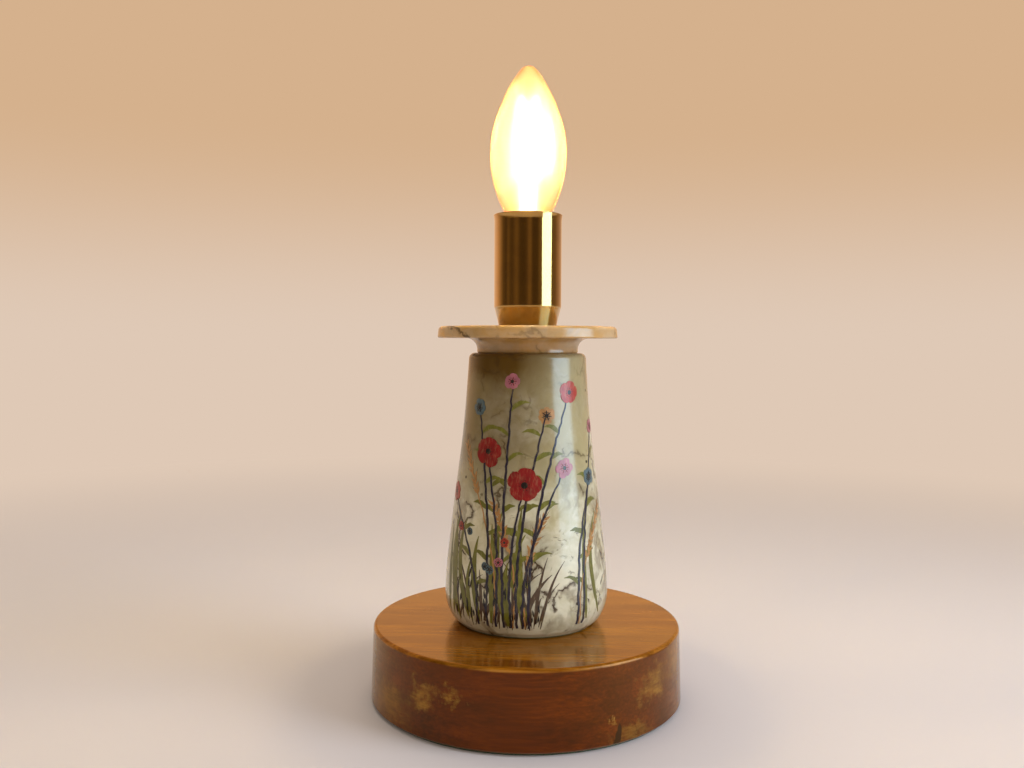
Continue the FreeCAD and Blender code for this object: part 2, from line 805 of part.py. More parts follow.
def bulb_contact():
    rounding = tuple((contact_button_radius * outward, bulb_contact_z + contact_button_height * upward)
                     for outward, upward in contact_rounding)
    return turned([
        (0, bulb_contact_z),
        rounding,
        (contact_button_radius, insulator_bottom_z),
        (0, insulator_bottom_z)])


def bulb_insulator():
    top = bulb_thread_z - turning_clearance
    boss_top = bulb_thread_z + bulb_cap_wall
    return turned([
        (0, insulator_bottom_z),
        (insulator_foot_radius, insulator_bottom_z),
        (insulator_radius, top - insulator_edge),
        (insulator_radius, top),
        (insulator_boss_radius, top),
        (insulator_boss_radius, boss_top),
        (0, boss_top)])


def bulb_cap():
    thread = edison_thread(bulb_thread_radius, bulb_thread_z, bulb_thread_length)
    neck = bulb_thread_radius + thread_throw + thread_run_out
    inner = bulb_thread_radius - thread_throw - bulb_cap_wall
    skirt_inner = cap_skirt_radius - bulb_cap_wall
    neck_top = bulb_thread_top_z + cap_neck_height
    flare_top = skirt_top_z - cap_skirt_straight
    floor_z = bulb_thread_z + bulb_cap_wall
    flare = turned([
        (inner, bulb_thread_top_z),
        (neck, bulb_thread_top_z),
        (neck, neck_top),
        (cap_skirt_radius, flare_top),
        (cap_skirt_radius, skirt_top_z),
        (skirt_inner, skirt_top_z),
        (skirt_inner, flare_top),
        (inner, neck_top)])
    hollow = disc(inner, floor_z, bulb_thread_top_z - floor_z)
    hole = disc(insulator_boss_radius + turning_clearance, bulb_thread_z, bulb_cap_wall)
    return thread.cut([hollow, hole]).fuse(flare)


# The candle's outline, drawn in by inset for the inside of the glass. It widens from the neck
# to the widest level, and draws in to a small round tip.
def candle_solid(inset, bottom):
    widest_z = bulb_tip_z - bulb_widest_below_tip
    low_z = skirt_top_z + glass_neck_height
    rise = widest_z - low_z
    widen = bulb_radius - glass_neck_radius
    tip = corner(0, bulb_tip_z - bulb_tip_radius, bulb_tip_radius - inset, bulb_tip_angle, 90)
    fall = bulb_widest_below_tip - bulb_tip_radius
    lower = [(glass_neck_radius + widen * share - inset, low_z + rise * height)
             for share, height in candle_below]
    upper = [(bulb_radius * share - inset, widest_z + fall * height) for share, height in candle_above]
    return turned([
        (0, bottom),
        (glass_neck_radius - inset, bottom),
        tuple(lower + upper + [tip[0]]),
        tip])


def bulb_glass():
    return candle_solid(0, glass_bottom_z).cut(candle_solid(glass_wall, glass_bottom_z))


# The glass foot inside the neck, hollow for the two leads
def bulb_stem():
    flare = glass_neck_radius - glass_wall - stem_gap
    return turned([
        (stem_radius - stem_wall, glass_bottom_z + stem_flare_inside),
        (flare - stem_wall, glass_bottom_z),
        (flare, glass_bottom_z),
        (stem_radius, glass_bottom_z + stem_flare_height),
        (stem_radius, stem_top_z - stem_taper_height),
        (stem_tip_radius, stem_top_z),
        (0, stem_top_z),
        (0, stem_hollow_top_z),
        (stem_radius - stem_wall, stem_hollow_top_z)])


def bulb_leads():
    lead = rod(Vector(bulb_lead_offset, 0, bulb_thread_top_z), Vector(bulb_lead_offset, 0, stem_hollow_top_z),
               frame_wire_radius)
    return Part.makeCompound([lead, mirrored_in_x(lead)])


def filament_ends():
    foot = Vector(filament_foot_circle, 0, stem_top_z + filament_above_stem)
    lean = filament_foot_circle - filament_head_circle
    head = foot.add(Vector(-lean, 0, math.sqrt(filament_length ** 2 - lean ** 2)))
    return foot, head


def bulb_filaments():
    foot, head = filament_ends()
    return Part.makeCompound(copies_round(rod(foot, head, filament_radius), filament_count, 45))


# A wire mast with spokes that meet both ends of each filament
def bulb_frame():
    foot, head = filament_ends()
    low = Vector(0, 0, stem_top_z)
    high = Vector(0, 0, head.z + frame_above_filaments)
    pieces = [rod(low, high, frame_wire_radius)]
    low_spoke = rod(Vector(0, 0, low.z + frame_wire_radius), Vector(foot.x, 0, foot.z - frame_weld),
                    frame_wire_radius)
    high_spoke = rod(Vector(0, 0, high.z - frame_wire_radius), Vector(head.x, 0, head.z + frame_weld),
                     frame_wire_radius)
    filament = rod(foot, head, filament_radius)
    spokes = low_spoke.cut(filament).fuse(high_spoke.cut(filament))
    pieces += copies_round(spokes, filament_count, 45)
    return pieces[0].fuse(pieces[1:]).removeSplitter()


# The small circuit board that stands in the bulb's cap
def bulb_driver():
    half = bulb_thread_radius - thread_throw - bulb_cap_wall - board_clearance
    floor_z = bulb_thread_z + bulb_cap_wall + board_floor_gap
    face = board_thickness / 2
    rectifier_z = floor_z + rectifier_above_floor
    board = block(-half, half, -face, face, floor_z, bulb_thread_top_z)
    capacitor = disc(capacitor_radius, floor_z + capacitor_above_floor, capacitor_height, 0, -capacitor_offset)
    rectifier = block(-rectifier_width / 2, rectifier_width / 2, face, face + rectifier_depth,
                      rectifier_z, rectifier_z + rectifier_height)
    return board.fuse([capacitor, rectifier])


# One lead on the +X side: from the block's clamp to the tube, up the tube, and out to its terminal
def inner_lead():
    side = lead_spacing / 2
    pole = pole_spacing / 2
    clamp_end = Vector(pole, block_offset - clamp_tube_length / 2 - lead_clamp_gap, clamp_axis_z)
    straighten = Vector(pole, clamp_end.y - lead_straight, clamp_axis_z)
    under_tube = Vector(side, 0, clamp_axis_z)
    lower_bend = min(lead_largest_bend, tube_bottom_z - clamp_axis_z)
    top_end = Vector(terminal_offset, 0, terminal_bottom_z - lead_terminal_gap)
    shift = terminal_offset - side
    rise = top_end.z - tube_top_z + lead_held_in_tube
    turn = 2 * math.atan(shift / rise)
    upper_bend = rise / (2 * math.sin(turn))
    reach = upper_bend * math.tan(turn / 2)
    leave_tube = Vector(side, 0, tube_top_z - lead_held_in_tube + reach)
    reach_terminal = Vector(terminal_offset, 0, top_end.z - reach)
    points = [clamp_end, straighten, under_tube, leave_tube, reach_terminal, top_end]
    path = rounded_path(points, [lead_largest_bend, lower_bend, upper_bend, upper_bend])
    section = Part.Wire([Part.makeCircle(lead_radius, clamp_end, Vector(0, 1, 0))])
    tube = upright(path.makePipeShell([section], True, False))
    print("lead %.1f mm long, volume %.1f, section times length %.1f" % (
        path.Length, tube.Volume, math.pi * lead_radius ** 2 * path.Length))
    into_clamp = rod(clamp_end, clamp_end.add(Vector(0, conductor_in_clamp, 0)), conductor_radius)
    into_terminal = rod(top_end, top_end.add(Vector(0, 0, conductor_length)), conductor_radius)
    return tube.fuse([into_clamp, into_terminal])


def live_wire():
    return inner_lead()


def neutral_wire():
    return mirrored_in_x(inner_lead())


nodes = [
    felt_pad, base_cover, base_cover_screws, wood_base, cord_bush,
    terminal_block, terminal_block_clamps, terminal_block_screws, block_fixing_screw,
    base_nut, base_lock_washer, base_washer, threaded_tube, live_wire, neutral_wire,
    foot_gasket, alabaster_body, alabaster_collar,
    holder_cap, holder_sleeve, holder_liner, holder_bracket, top_nut,
    porcelain_insert, insert_screws, live_terminal, neutral_terminal, terminal_screws,
    contact_tongue, screw_shell,
    bulb_contact, bulb_insulator, bulb_cap, bulb_glass, bulb_stem, bulb_leads,
    bulb_filaments, bulb_frame, bulb_driver]

os.makedirs("parts", exist_ok=True)
for node in nodes:
    shape = node()
    shape.exportStep("parts/%s.step" % node.__name__)
    print("%-22s %d solids, valid %s, %.1f mm3" % (
        node.__name__, len(shape.Solids), shape.isValid(), shape.Volume))
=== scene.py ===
import math
import random
from functools import partial

import bmesh
import bpy
from mathutils import Matrix, Vector
from mathutils.bvhtree import BVHTree


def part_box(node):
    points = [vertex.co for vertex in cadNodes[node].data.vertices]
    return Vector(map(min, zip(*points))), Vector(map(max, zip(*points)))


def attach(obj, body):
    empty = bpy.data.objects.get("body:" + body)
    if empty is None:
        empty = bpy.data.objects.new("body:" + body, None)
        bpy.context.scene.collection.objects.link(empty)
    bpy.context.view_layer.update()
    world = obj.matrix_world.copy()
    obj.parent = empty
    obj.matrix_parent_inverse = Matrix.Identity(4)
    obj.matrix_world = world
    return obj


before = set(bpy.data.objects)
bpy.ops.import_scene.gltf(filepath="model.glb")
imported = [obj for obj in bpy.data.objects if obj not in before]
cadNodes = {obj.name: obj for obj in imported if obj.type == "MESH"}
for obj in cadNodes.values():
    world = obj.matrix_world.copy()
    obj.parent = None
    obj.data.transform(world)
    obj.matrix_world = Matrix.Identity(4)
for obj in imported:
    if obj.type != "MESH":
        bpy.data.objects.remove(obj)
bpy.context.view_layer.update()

# Table lamp of turned alabaster on a varnished wooden base, with a brass holder and a lit candle bulb.
# Metres, +Z up. The lamp's axis is Z and its front faces -Y.

mm = 0.001
print("frame loaded with", len(cadNodes), "parts")

# Settings that many nodes share
smooth = {"interpolation_type": "SMOOTHSTEP"}
inColour = {"data_type": "RGBA"}
another = {"noise_dimensions": "4D"}    # a noise that differs from the others by its second number


# Colours are written as sRGB hex and turned linear here
def toLinear(hexColour):
    channels = [int(hexColour[i:i + 2], 16) / 255 for i in (1, 3, 5)]
    return tuple(c / 12.92 if c <= 0.04045 else ((c + 0.055) / 1.055) ** 2.4 for c in channels) + (1,)


# Adds one node. The kind may be followed by an operation. Its sockets come by name, or as a tuple in the
# node's own order: vector, scale, detail and roughness of a noise; share and two colours of a mix; value,
# from, to and the two results of a Map Range. A socket takes a number, a hex colour, another node's socket,
# or a node for its first output.
def addNode(tree, kind, sockets=(), stops=(), **settings):
    kind, *operation = kind.split()
    node = tree.nodes.new("ShaderNode" + kind)
    if operation:
        node.operation = operation[0]
    for name, value in settings.items():
        setattr(node, name, value)
    for index, (place, colour) in enumerate(stops):
        elements = node.color_ramp.elements
        stop = elements[index] if index < 2 else elements.new(place)
        stop.position = place
        stop.color = toLinear(colour)
    if not isinstance(sockets, (dict, tuple)):
        sockets = (sockets,)
    inUse = [socket for socket in node.inputs if socket.enabled]
    for name, value in sockets.items() if isinstance(sockets, dict) else enumerate(sockets):
        socket = inUse[name] if isinstance(name, int) else next(s for s in inUse if s.name == name)
        if isinstance(value, bpy.types.Node):
            value = next(s for s in value.outputs if s.enabled)
        if isinstance(value, bpy.types.NodeSocket):
            tree.links.new(value, socket)
        else:
            socket.default_value = toLinear(value) if isinstance(value, str) else value
    return node


# A new material, what adds its nodes, and its own millimetre coordinates, moved and turned so that no two
# parts look alike
def newMaterial(name, shift=(0, 0, 0), turn=(0, 0, 0)):
    material = bpy.data.materials.new(name)
    material.use_nodes = True
    material.node_tree.nodes.clear()
    add = partial(addNode, material.node_tree)
    place = add("Mapping", (add("TexCoord").outputs["Object"], shift, [math.radians(a) for a in turn],
                            (1 / mm,) * 3))
    return material, add, place


# Closes a material: its shader, a bump from a height and its depth in millimetres, and a Volume if it has one
def closeMaterial(material, shader, height=None, depth=0.0, **volume):
    tree = material.node_tree
    if height is not None:
        bump = addNode(tree, "Bump", {"Height": height, "Distance": depth * mm, "Strength": 1.0})
        tree.links.new(bump.outputs["Normal"], shader.inputs["Normal"])
    addNode(tree, "OutputMaterial", {"Surface": shader, **volume})
    return material


# Pushes a place aside by a noise: up to half the reach to each side, or up to the whole reach to one side
def pushAside(add, place, noise, reach, bothSides=True):
    push = noise.outputs["Color"]
    if bothSides:
        push = add("VectorMath SUBTRACT", (push, (0.5,) * 3))
    return add("VectorMath ADD", (place, add("VectorMath SCALE", (push, reach))))


# A noise that is drawn out where the stretch is below 1, after a turn about Z in degrees
def addDrawnOut(add, place, size, stretch, turn=0.0, **sockets):
    lying = add("Mapping", {"Vector": place, "Rotation": (0, 0, math.radians(turn)), "Scale": stretch})
    return add("TexNoise", {"Vector": lying, "Scale": 1 / size, **sockets})


# Adds an object to the scene. What it is made of may be a bmesh.
def addObject(name, data):
    if isinstance(data, bmesh.types.BMesh):
        form, data = data, bpy.data.meshes.new(name)
        form.to_mesh(data)
        form.free()
    made = bpy.data.objects.new(name, data)
    bpy.context.scene.collection.objects.link(made)
    return made


def dress(material, *nodeNames):
    for nodeName in nodeNames:
        slots = cadNodes[nodeName].data.materials
        slots.clear()
        slots.append(material)


# Camera, fitted to the ellipses of the base, the flange and the holder's rim
cameraPlace = {
    "distance": 443.1 * mm,
    "height": 165.7 * mm,
    "turnLeft": 0.92,
    "tiltDown": 2.59,
    "roll": 0.25,
    "lens": 33.4,
    "clipStart": 0.01,
}


def makeCamera():
    camera = addObject("camera", bpy.data.cameras.new("camera"))
    turn = (Matrix.Rotation(math.radians(cameraPlace["turnLeft"]), 4, "Z")
            @ Matrix.Rotation(math.radians(90 - cameraPlace["tiltDown"]), 4, "X")
            @ Matrix.Rotation(math.radians(cameraPlace["roll"]), 4, "Z"))
    camera.matrix_world = Matrix.Translation((0, -cameraPlace["distance"], cameraPlace["height"])) @ turn
    camera.data.lens = cameraPlace["lens"]
    camera.data.clip_start = cameraPlace["clipStart"]
    bpy.context.scene.camera = camera


makeCamera()
bpy.context.scene.view_settings.view_transform = "Standard"
print("camera placed")

# Studio: a pale floor that fades into the backdrop, a tall window light at the right and soft fill
studio = {
    "floorRadius": 4.0,
    "floorPaint": {"Base Color": "#d6cbc4", "Roughness": 0.7, "Specular IOR Level": 0.1},
    "floorFade": (0.22, 0.95),    # metres from the lamp
    "horizonColour": "#dfc9b6",
    "backdropColour": "#d5b18d",
    "backdropRise": (0.0, 0.22),    # how steeply up the backdrop changes from one to the other
    "skyStrength": 0.45,
    "skyColour": "#fff9f2",
    "wallColour": "#f2c093",    # what gloss mirrors of the wall behind
    "wallBehind": (0.0, 0.75),
    "wallDimmer": (0.1, 0.8, 1.0, 0.5),    # the wall is dimmer towards the window's side
    "roomColour": "#6a5338",    # what gloss mirrors of the room in front
    "roomBands": 1.9,
    "roomBandStretch": (1, 1, 0.12),
    "roomBandTones": (0.36, 0.64, 0.6, 1.5),
}

lamps = {
    # name: place, what it points at, width, height, spread in degrees, watts, colour, seen in gloss only
    "window": ((0.92, -0.37, 0.5), (0, 0, 0.14), 0.58, 0.8, 110, 4.4, "#d6e6ff", False),
    "window_glint": ((0.92, -0.37, 0.46), (0, 0, 0.16), 0.7, 0.9, 180, 13.0, "#c4e8ff", True),
    "front_fill": ((0.1, -1.15, 0.7), (0, 0, 0.12), 0.9, 0.7, 180, 2.6, "#fff9f1", False),
    "top_fill": ((-0.1, 0.35, 1.25), (0, 0, 0.12), 0.8, 0.8, 180, 4.6, "#fff0e0", False),
}


# 1 for what the camera sees itself, in a reflection or through glass
def addSeenDirectly(add):
    light = add("LightPath").outputs
    seen = add("Math MAXIMUM", (light["Is Camera Ray"], light["Is Glossy Ray"]))
    return add("Math MAXIMUM", (seen, light["Is Transmission Ray"]))


def makeFloor():
    floor = bmesh.new()
    bmesh.ops.create_circle(floor, cap_ends=True, segments=96, radius=studio["floorRadius"])
    ground = addObject("floor", floor)

    material, add, place = newMaterial("painted table top")
    paint = add("BsdfPrincipled", studio["floorPaint"])
    glow = add("Emission", {"Color": studio["horizonColour"], "Strength": 1.0})
    distance = add("VectorMath LENGTH", place)
    fade = add("MapRange", (distance, *(edge / mm for edge in studio["floorFade"])), **smooth)
    share = add("Math MULTIPLY", (fade, addSeenDirectly(add)))
    ground.data.materials.append(closeMaterial(material, add("MixShader", (share, paint, glow))))


# The world lights evenly, shows a graded backdrop, and is a dim room in front for what gloss reflects
def makeWorld():
    world = bpy.data.worlds.new("studio")
    bpy.context.scene.world = world
    world.use_nodes = True
    world.node_tree.nodes.clear()
    add = partial(addNode, world.node_tree)
    direction = add("TexCoord").outputs["Generated"]
    axes = add("SeparateXYZ", direction).outputs
    rise = add("MapRange", (axes["Z"], *studio["backdropRise"]), **smooth)
    backdrop = add("Mix", (rise, studio["horizonColour"], studio["backdropColour"]), **inColour)
    behind = add("MapRange", (axes["Y"], *studio["wallBehind"]), **smooth)
    wallShare = add("Math MULTIPLY", (behind, add("MapRange", (axes["X"], *studio["wallDimmer"]))))
    # The room has upright bands, darker and lighter, as of doors and furniture
    stretched = add("Mapping", {"Vector": direction, "Scale": studio["roomBandStretch"]})
    furniture = add("TexNoise", (stretched, studio["roomBands"], 1.0, 0.4))
    banding = add("MapRange", (furniture, *studio["roomBandTones"]), **smooth)
    banded = add("VectorMath SCALE", (toLinear(studio["roomColour"])[:3], banding))
    room = add("Mix", (wallShare, banded, studio["wallColour"]), **inColour)
    shown = add("Mix", (add("LightPath").outputs["Is Glossy Ray"], backdrop, room), **inColour)
    sky = add("Background", (studio["skyColour"], studio["skyStrength"]))
    add("OutputWorld", add("MixShader", (addSeenDirectly(add), sky, add("Background", (shown, 1.0)))))


def makeLamps():
    for name, (place, target, width, height, spread, watts, colour, glint) in lamps.items():
        light = bpy.data.lights.new(name, "AREA")
        light.shape = "RECTANGLE"
        light.size = width
        light.size_y = height
        light.spread = math.radians(spread)
        light.energy = watts
        light.color = toLinear(colour)[:3]
        lamp = addObject(name, light)
        lamp.location = place
        lamp.rotation_euler = (Vector(target) - Vector(place)).to_track_quat("-Z", "Y").to_euler()
        lamp.visible_glossy = glint
        lamp.visible_diffuse = not glint


makeFloor()
makeWorld()
makeLamps()
print("studio lit")

# Alabaster: a soft, faintly see-through stone, cut on the lathe and polished with wax.
# It gives clouded cream with smoky patches and a few brown marks under a wet-looking gloss.
alabaster = {
    "cream": "#aea075",
    "white": "#d7ceaf",
    "grey": "#857c60",
    "olive": "#5b4424",
    "vein": "#3a2614",
    "fleck": "#1e1a15",
    # the brown of the painted shade under the flange
    "shoulder": "#5a400e",
    # Sizes and depths in millimetres
    "driftSize": 22.0,
    "driftReach": 24.0,
    "cloudSize": 26.0,
    "smokeSize": 33.8,
    "veinSize": 30.0,
    "veinPatch": 24.0,
    "markSize": 6.0,
    "markPatch": 17.0,
    "fraySize": 5.0,
    "frayReach": 7.0,
    "crackSpacing": 21.0,
    "crackPatch": 13.0,
    "fleckSpacing": 8.0,
    "waxSize": 9.0,
    "pitSize": 1.6,
    "pitDepth": 0.006,
    # Ranges: the pattern's value from and to, and the result at each
    "milk": (0.2, 0.5),
    "smoke": (0.44, 0.72, 0.0, 0.7),
    "paintedShadeOlive": (0.6, 0.86, 0.0, 0.66),
    # Painted shade: olive in the upper half, brown at the shoulder
    "paintedShadeBrown": (1.02, 1.12, 0.0, 0.34),
    "lowPart": (0.35, 0.8, 1.0, 0.3),
    "veinWidth": (0.0, 0.05, 1.0, 0.0),
    "veinHere": (0.42, 0.6, 0.0, 0.55),
    "markShape": (0.56, 0.67),
    "markHere": (0.47, 0.6),
    "crackHere": (0.5, 0.58),
    "crackHalo": (0.0, 0.13, 0.5, 0.0),
    "crackLine": (0.012, 0.04, 0.9, 0.0),
    "fleckShape": (0.06, 0.12, 1.0, 0.0),
    "riftWander": (0.3, 0.7, -2.0, 2.0),
    "riftWidth": (0.2, 1.5, 0.75, 0.0),
    "whiteLoss": 0.32,    # how much less white the stone is at the top than at the foot
    "raggedness": 0.3,    # how unevenly the painted shade at the shoulder ends
    # Painted shade: darker at the left, away from the window light
    "shadeLeft": -5.0,     # it fades to the right from here, in millimetres,
    "shadeRight": 0.55,    # to this share of the column's half width
    "shadeFade": (1.0, 0.2),
    "veinSlant": (0, 38, 20),
    "veinStretch": (1, 1, 0.45),
    "fleckChance": 0.72,
    "gloss": (0.0, 1.0, 0.09, 0.27),
    # Light goes some 3 mm into the stone and comes out warmer
    "body": {"IOR": 1.52, "Subsurface Weight": 0.18, "Subsurface Radius": (1.0, 0.8, 0.55),
             "Subsurface Scale": 3.0 * mm},
    "rift": None,
}
# The collar's stone is honey brown. A dark rift slants through it: a point in it, and the way it faces.
collarStone = dict(alabaster, cream="#c4934c", white="#c2a37a", grey="#8f7950", olive="#5f4721",
                   whiteLoss=0.16, paintedShadeOlive=(0.6, 0.86, 0, 0), paintedShadeBrown=(1.02, 1.12, 0, 0), veinSize=40.0,
                   rift=((-30.0, -29.0, 170.2), (0.75, 0.2, 0.65)))


def makeAlabaster(name, stone, shift, turn):
    material, add, place = newMaterial(name, shift, turn)
    unturned = add("TexCoord").outputs["Object"]
    axes = add("SeparateXYZ", unturned).outputs
    columnLow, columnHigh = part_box("alabaster_body")
    rise = add("MapRange", (axes["Z"], columnLow.z, columnHigh.z))
    drift = add("TexNoise", (place, 1 / stone["driftSize"], 3.0, 0.55))
    warped = pushAside(add, place, drift, stone["driftReach"])
    layers = []

    # Clouds: cream to white, whiter towards the foot, and smoky grey between them
    clouds = add("TexNoise", (warped, 1 / stone["cloudSize"], 6.0, 0.6))
    lowered = add("Math MULTIPLY_ADD", (rise, -stone["whiteLoss"], clouds))
    milk = add("MapRange", (lowered, *stone["milk"]), **smooth)
    smoke = add("TexNoise", (warped, 3.1, 1 / stone["smokeSize"], 7.0, 0.62), **another)
    layers.append((add("MapRange", (smoke, *stone["smoke"]), **smooth), stone["grey"]))

    # Painted shade: the stone is painted olive in its upper half and deep brown at the shoulder, as in the
    # shade under the flange, most of all at the left, away from the window light
    ragged = add("Math MULTIPLY_ADD", (clouds, stone["raggedness"], rise))
    paintedShade = add("Math ADD", (add("MapRange", (ragged, *stone["paintedShadeOlive"]), **smooth),
                               add("MapRange", (ragged, *stone["paintedShadeBrown"]), **smooth)))
    shadeSide = add("MapRange", (axes["X"], stone["shadeLeft"] * mm, columnHigh.x * stone["shadeRight"],
                                *stone["shadeFade"]))
    layers.append((add("Math MULTIPLY", (paintedShade, shadeSide)), stone["shoulder"]))

    # Broad soft veins rise to one side. They lie where a drawn-out noise crosses its middle, and gather in
    # the lower half of the column, as the marks and cracks do.
    lowPart = add("MapRange", (rise, *stone["lowPart"]))
    slanted = add("Mapping", {"Vector": warped, "Rotation": [math.radians(a) for a in stone["veinSlant"]],
                              "Scale": stone["veinStretch"]})
    drawn = add("TexNoise", (slanted, 11.0, 1 / stone["veinSize"], 8.0, 0.58), **another)
    off = add("Math ABSOLUTE", add("Math SUBTRACT", (drawn, 0.5)))
    where = add("TexNoise", (place, 16.0, 1 / stone["veinPatch"], 2.0), **another)
    vein = add("Math MULTIPLY", (add("MapRange", (off, *stone["veinWidth"]), **smooth),
                                 add("MapRange", (where, *stone["veinHere"]), **smooth)))
    layers.append((add("Math MULTIPLY", (vein, lowPart)), stone["olive"]))

    # Small branching marks, dark brown, in groups
    marks = add("TexNoise", {"Vector": warped, "Scale": 1 / stone["markSize"], "Detail": 6.0,
                             "Roughness": 0.68, "Distortion": 0.5})
    group = add("TexNoise", (warped, 29.0, 1 / stone["markPatch"], 2.0), **another)
    mark = add("Math MULTIPLY", (add("MapRange", (marks, *stone["markShape"]), **smooth),
                                 add("MapRange", (group, *stone["markHere"]))))
    layers.append((add("Math MULTIPLY", (mark, lowPart)), stone["vein"]))

    # Healed cracks: thin dark lines in a brown halo, broken off where the patch noise is low
    frayed = add("TexNoise", (place, 1 / stone["fraySize"], 5.0, 0.65))
    bent = pushAside(add, warped, frayed, stone["frayReach"], bothSides=False)
    cells = add("TexVoronoi", {"Vector": bent, "Scale": 1 / stone["crackSpacing"]},
                feature="DISTANCE_TO_EDGE")
    broken = add("TexNoise", (place, 41.0, 1 / stone["crackPatch"], 3.0), **another)
    crackHere = add("Math MULTIPLY", (add("MapRange", (broken, *stone["crackHere"]), **smooth), lowPart))
    for width, colour in (("crackHalo", "olive"), ("crackLine", "vein")):
        line = add("MapRange", (cells.outputs["Distance"], *stone[width]), **smooth)
        layers.append((add("Math MULTIPLY", (line, crackHere)), stone[colour]))

    if stone["rift"]:
        spot, facing = stone["rift"]
        away = add("VectorMath SUBTRACT", (unturned, [v * mm for v in spot]))
        depth = add("VectorMath DOT_PRODUCT", (away, [v / mm for v in facing]))
        wandering = add("Math ADD", (depth, add("MapRange", (frayed, *stone["riftWander"]))))
        near = add("Math ABSOLUTE", wandering)
        layers.append((add("MapRange", (near, *stone["riftWidth"]), **smooth), stone["vein"]))

    # Single near-black flecks, a few in each palm's width
    flecks = add("TexVoronoi", {"Vector": place, "Scale": 1 / stone["fleckSpacing"]})
    chance = add("SeparateColor", flecks.outputs["Color"])
    chosen = add("Math GREATER_THAN", (chance.outputs["Red"], stone["fleckChance"]))
    fleckShape = add("MapRange", (flecks.outputs["Distance"], *stone["fleckShape"]))
    layers.append((add("Math MULTIPLY", (fleckShape, chosen)), stone["fleck"]))

    colour = add("Mix", (milk, stone["cream"], stone["white"]), **inColour)
    for share, over in layers:
        colour = add("Mix", (share, colour, over), **inColour)
    wax = add("TexNoise", (place, 1 / stone["waxSize"], 4.0))
    pits = add("TexNoise", (place, 1 / stone["pitSize"], 3.0))
    gloss = add("MapRange", (wax, *stone["gloss"]))
    shader = add("BsdfPrincipled", {"Base Color": colour, "Roughness": gloss, **stone["body"]})
    return closeMaterial(material, shader, pits, stone["pitDepth"])


dress(makeAlabaster("polished alabaster", alabaster, (12, 40, 7), (8, -14, 20)), "alabaster_body")
dress(makeAlabaster("warm alabaster", collarStone, (-60, 15, 33), (20, 5, -35)), "alabaster_collar")
print("stone dressed")

# Painting: a spray of meadow flowers in enamel, brushed by hand on the front of the column.
# Each stroke is a thin closed skin that follows the stone, so it catches the light at its edges.
painting = {
    "seed": 11,
    "sunk": 0.09,     # how far the paint reaches into the stone, in millimetres
    "proud": 0.05,    # how far the first colour stands out of it
    "coat": 0.03,     # how much higher each next colour lies
    "step": 2.2,      # length of one bend of a stroke
    "tremble": 0.35,
    "footHeight": 41.0,
    "stemWidth": 1.2,
    "leafWidth": 3.3,
    "petalAlong": (0.08, 0.3, 0.52, 0.74, 0.9, 1.0),     # places along a petal, and its width there
    "petalWidths": (0.3, 0.66, 0.94, 1.0, 0.78, 0.4),
    "heart": 0.085,    # radius of the dark heart, as a share of the flower's width
    "bladeAngles": (-67, -60, -53, -45, -38, -32, -25, -17, -11, -4, 3, 48, 61),
    "grassBlades": 32,
    "grassFlecks": 46,
    "lowFlowers": 6,
}

# In the order in which they are painted, so that the last lies on top
paintColours = {
    "brown": "#4b3522",
    "olive": "#6a661c",
    "ochre": "#a9773f",
    "indigo": "#211a2c",
    "blue_grey": "#4d6166",
    "pink": "#a65f68",
    "scarlet": "#a42b14",
    "crimson": "#860c08",
    "black": "#15100e",
}
petalVeins = {"pink": "crimson", "blue_grey": "black", "ochre": "black"}

# Flowers: angle of the foot and of the head round the front, height of the head, colour, width, petals
flowers = (
    (-35, -72, 97, "scarlet", 8.5, 6),
    (-28, -47, 136, "blue_grey", 7.5, 6),
    (-21, -34, 117, "crimson", 13.0, 5),
    (-15, -13, 148, "pink", 7.0, 5),
    (-10, -2, 103, "crimson", 15.0, 5),
    (-6, 17, 133, "ochre", 8.0, 7),
    (-2, 32, 110, "pink", 8.5, 6),
    (2, 41, 143, "scarlet", 10.0, 5),
    (38, 59, 105, "blue_grey", 8.0, 6),
    (43, 74, 127, "pink", 6.5, 5),
)

# Ears of grass: angle of the foot and of the tip, height of the tip
ears = ((-22, -60, 118), (-9, -25, 94), (0, 12, 88), (40, 70, 90))


# The column's radius at each whole millimetre of height, from the lowest up
def readStone():
    mesh = cadNodes["alabaster_body"].data
    tree = BVHTree.FromPolygons([v.co for v in mesh.vertices], [p.vertices for p in mesh.polygons])
    low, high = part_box("alabaster_body")
    lowest = math.ceil(low.z / mm)
    radii = []
    for height in range(lowest, math.floor(high.z / mm) + 1):
        hit = tree.ray_cast(Vector((0, -0.1, height * mm)), Vector((0, 1, 0)))[0]
        radii.append(-hit.y / mm)
    return lowest, radii


lowestRow, rowRadii = readStone()


def stoneRadius(height):
    row = min(max(height - lowestRow, 0), len(rowRadii) - 1.001)
    index = int(row)
    return rowRadii[index] + (rowRadii[index + 1] - rowRadii[index]) * (row - index)


coats = {colour: bmesh.new() for colour in paintColours}
strokeCount = dict.fromkeys(paintColours, 0)
hand = random.Random(painting["seed"])


# Wraps a flat patch, drawn as millimetres across and up, round the stone and gives it its thickness
def layPatch(colour, flat):
    for vert in flat:
        across, height = vert.co.x, vert.co.y
        radius = stoneRadius(height)
        reach = (radius - painting["sunk"]) * mm
        vert.co = (math.sin(across / radius) * reach, -math.cos(across / radius) * reach, height * mm)
    strokeCount[colour] += 1
    order = list(paintColours).index(colour)
    lift = painting["proud"] + painting["coat"] * (order + strokeCount[colour] % 5 / 6)
    faces = list({face for vert in flat for face in vert.link_faces})
    made = bmesh.ops.extrude_face_region(coats[colour], geom=faces)["geom"]
    for vert in (item for item in made if isinstance(item, bmesh.types.BMVert)):
        outward = Vector((vert.co.x, vert.co.y, 0)).normalized()
        vert.co += outward * (painting["sunk"] + lift) * mm


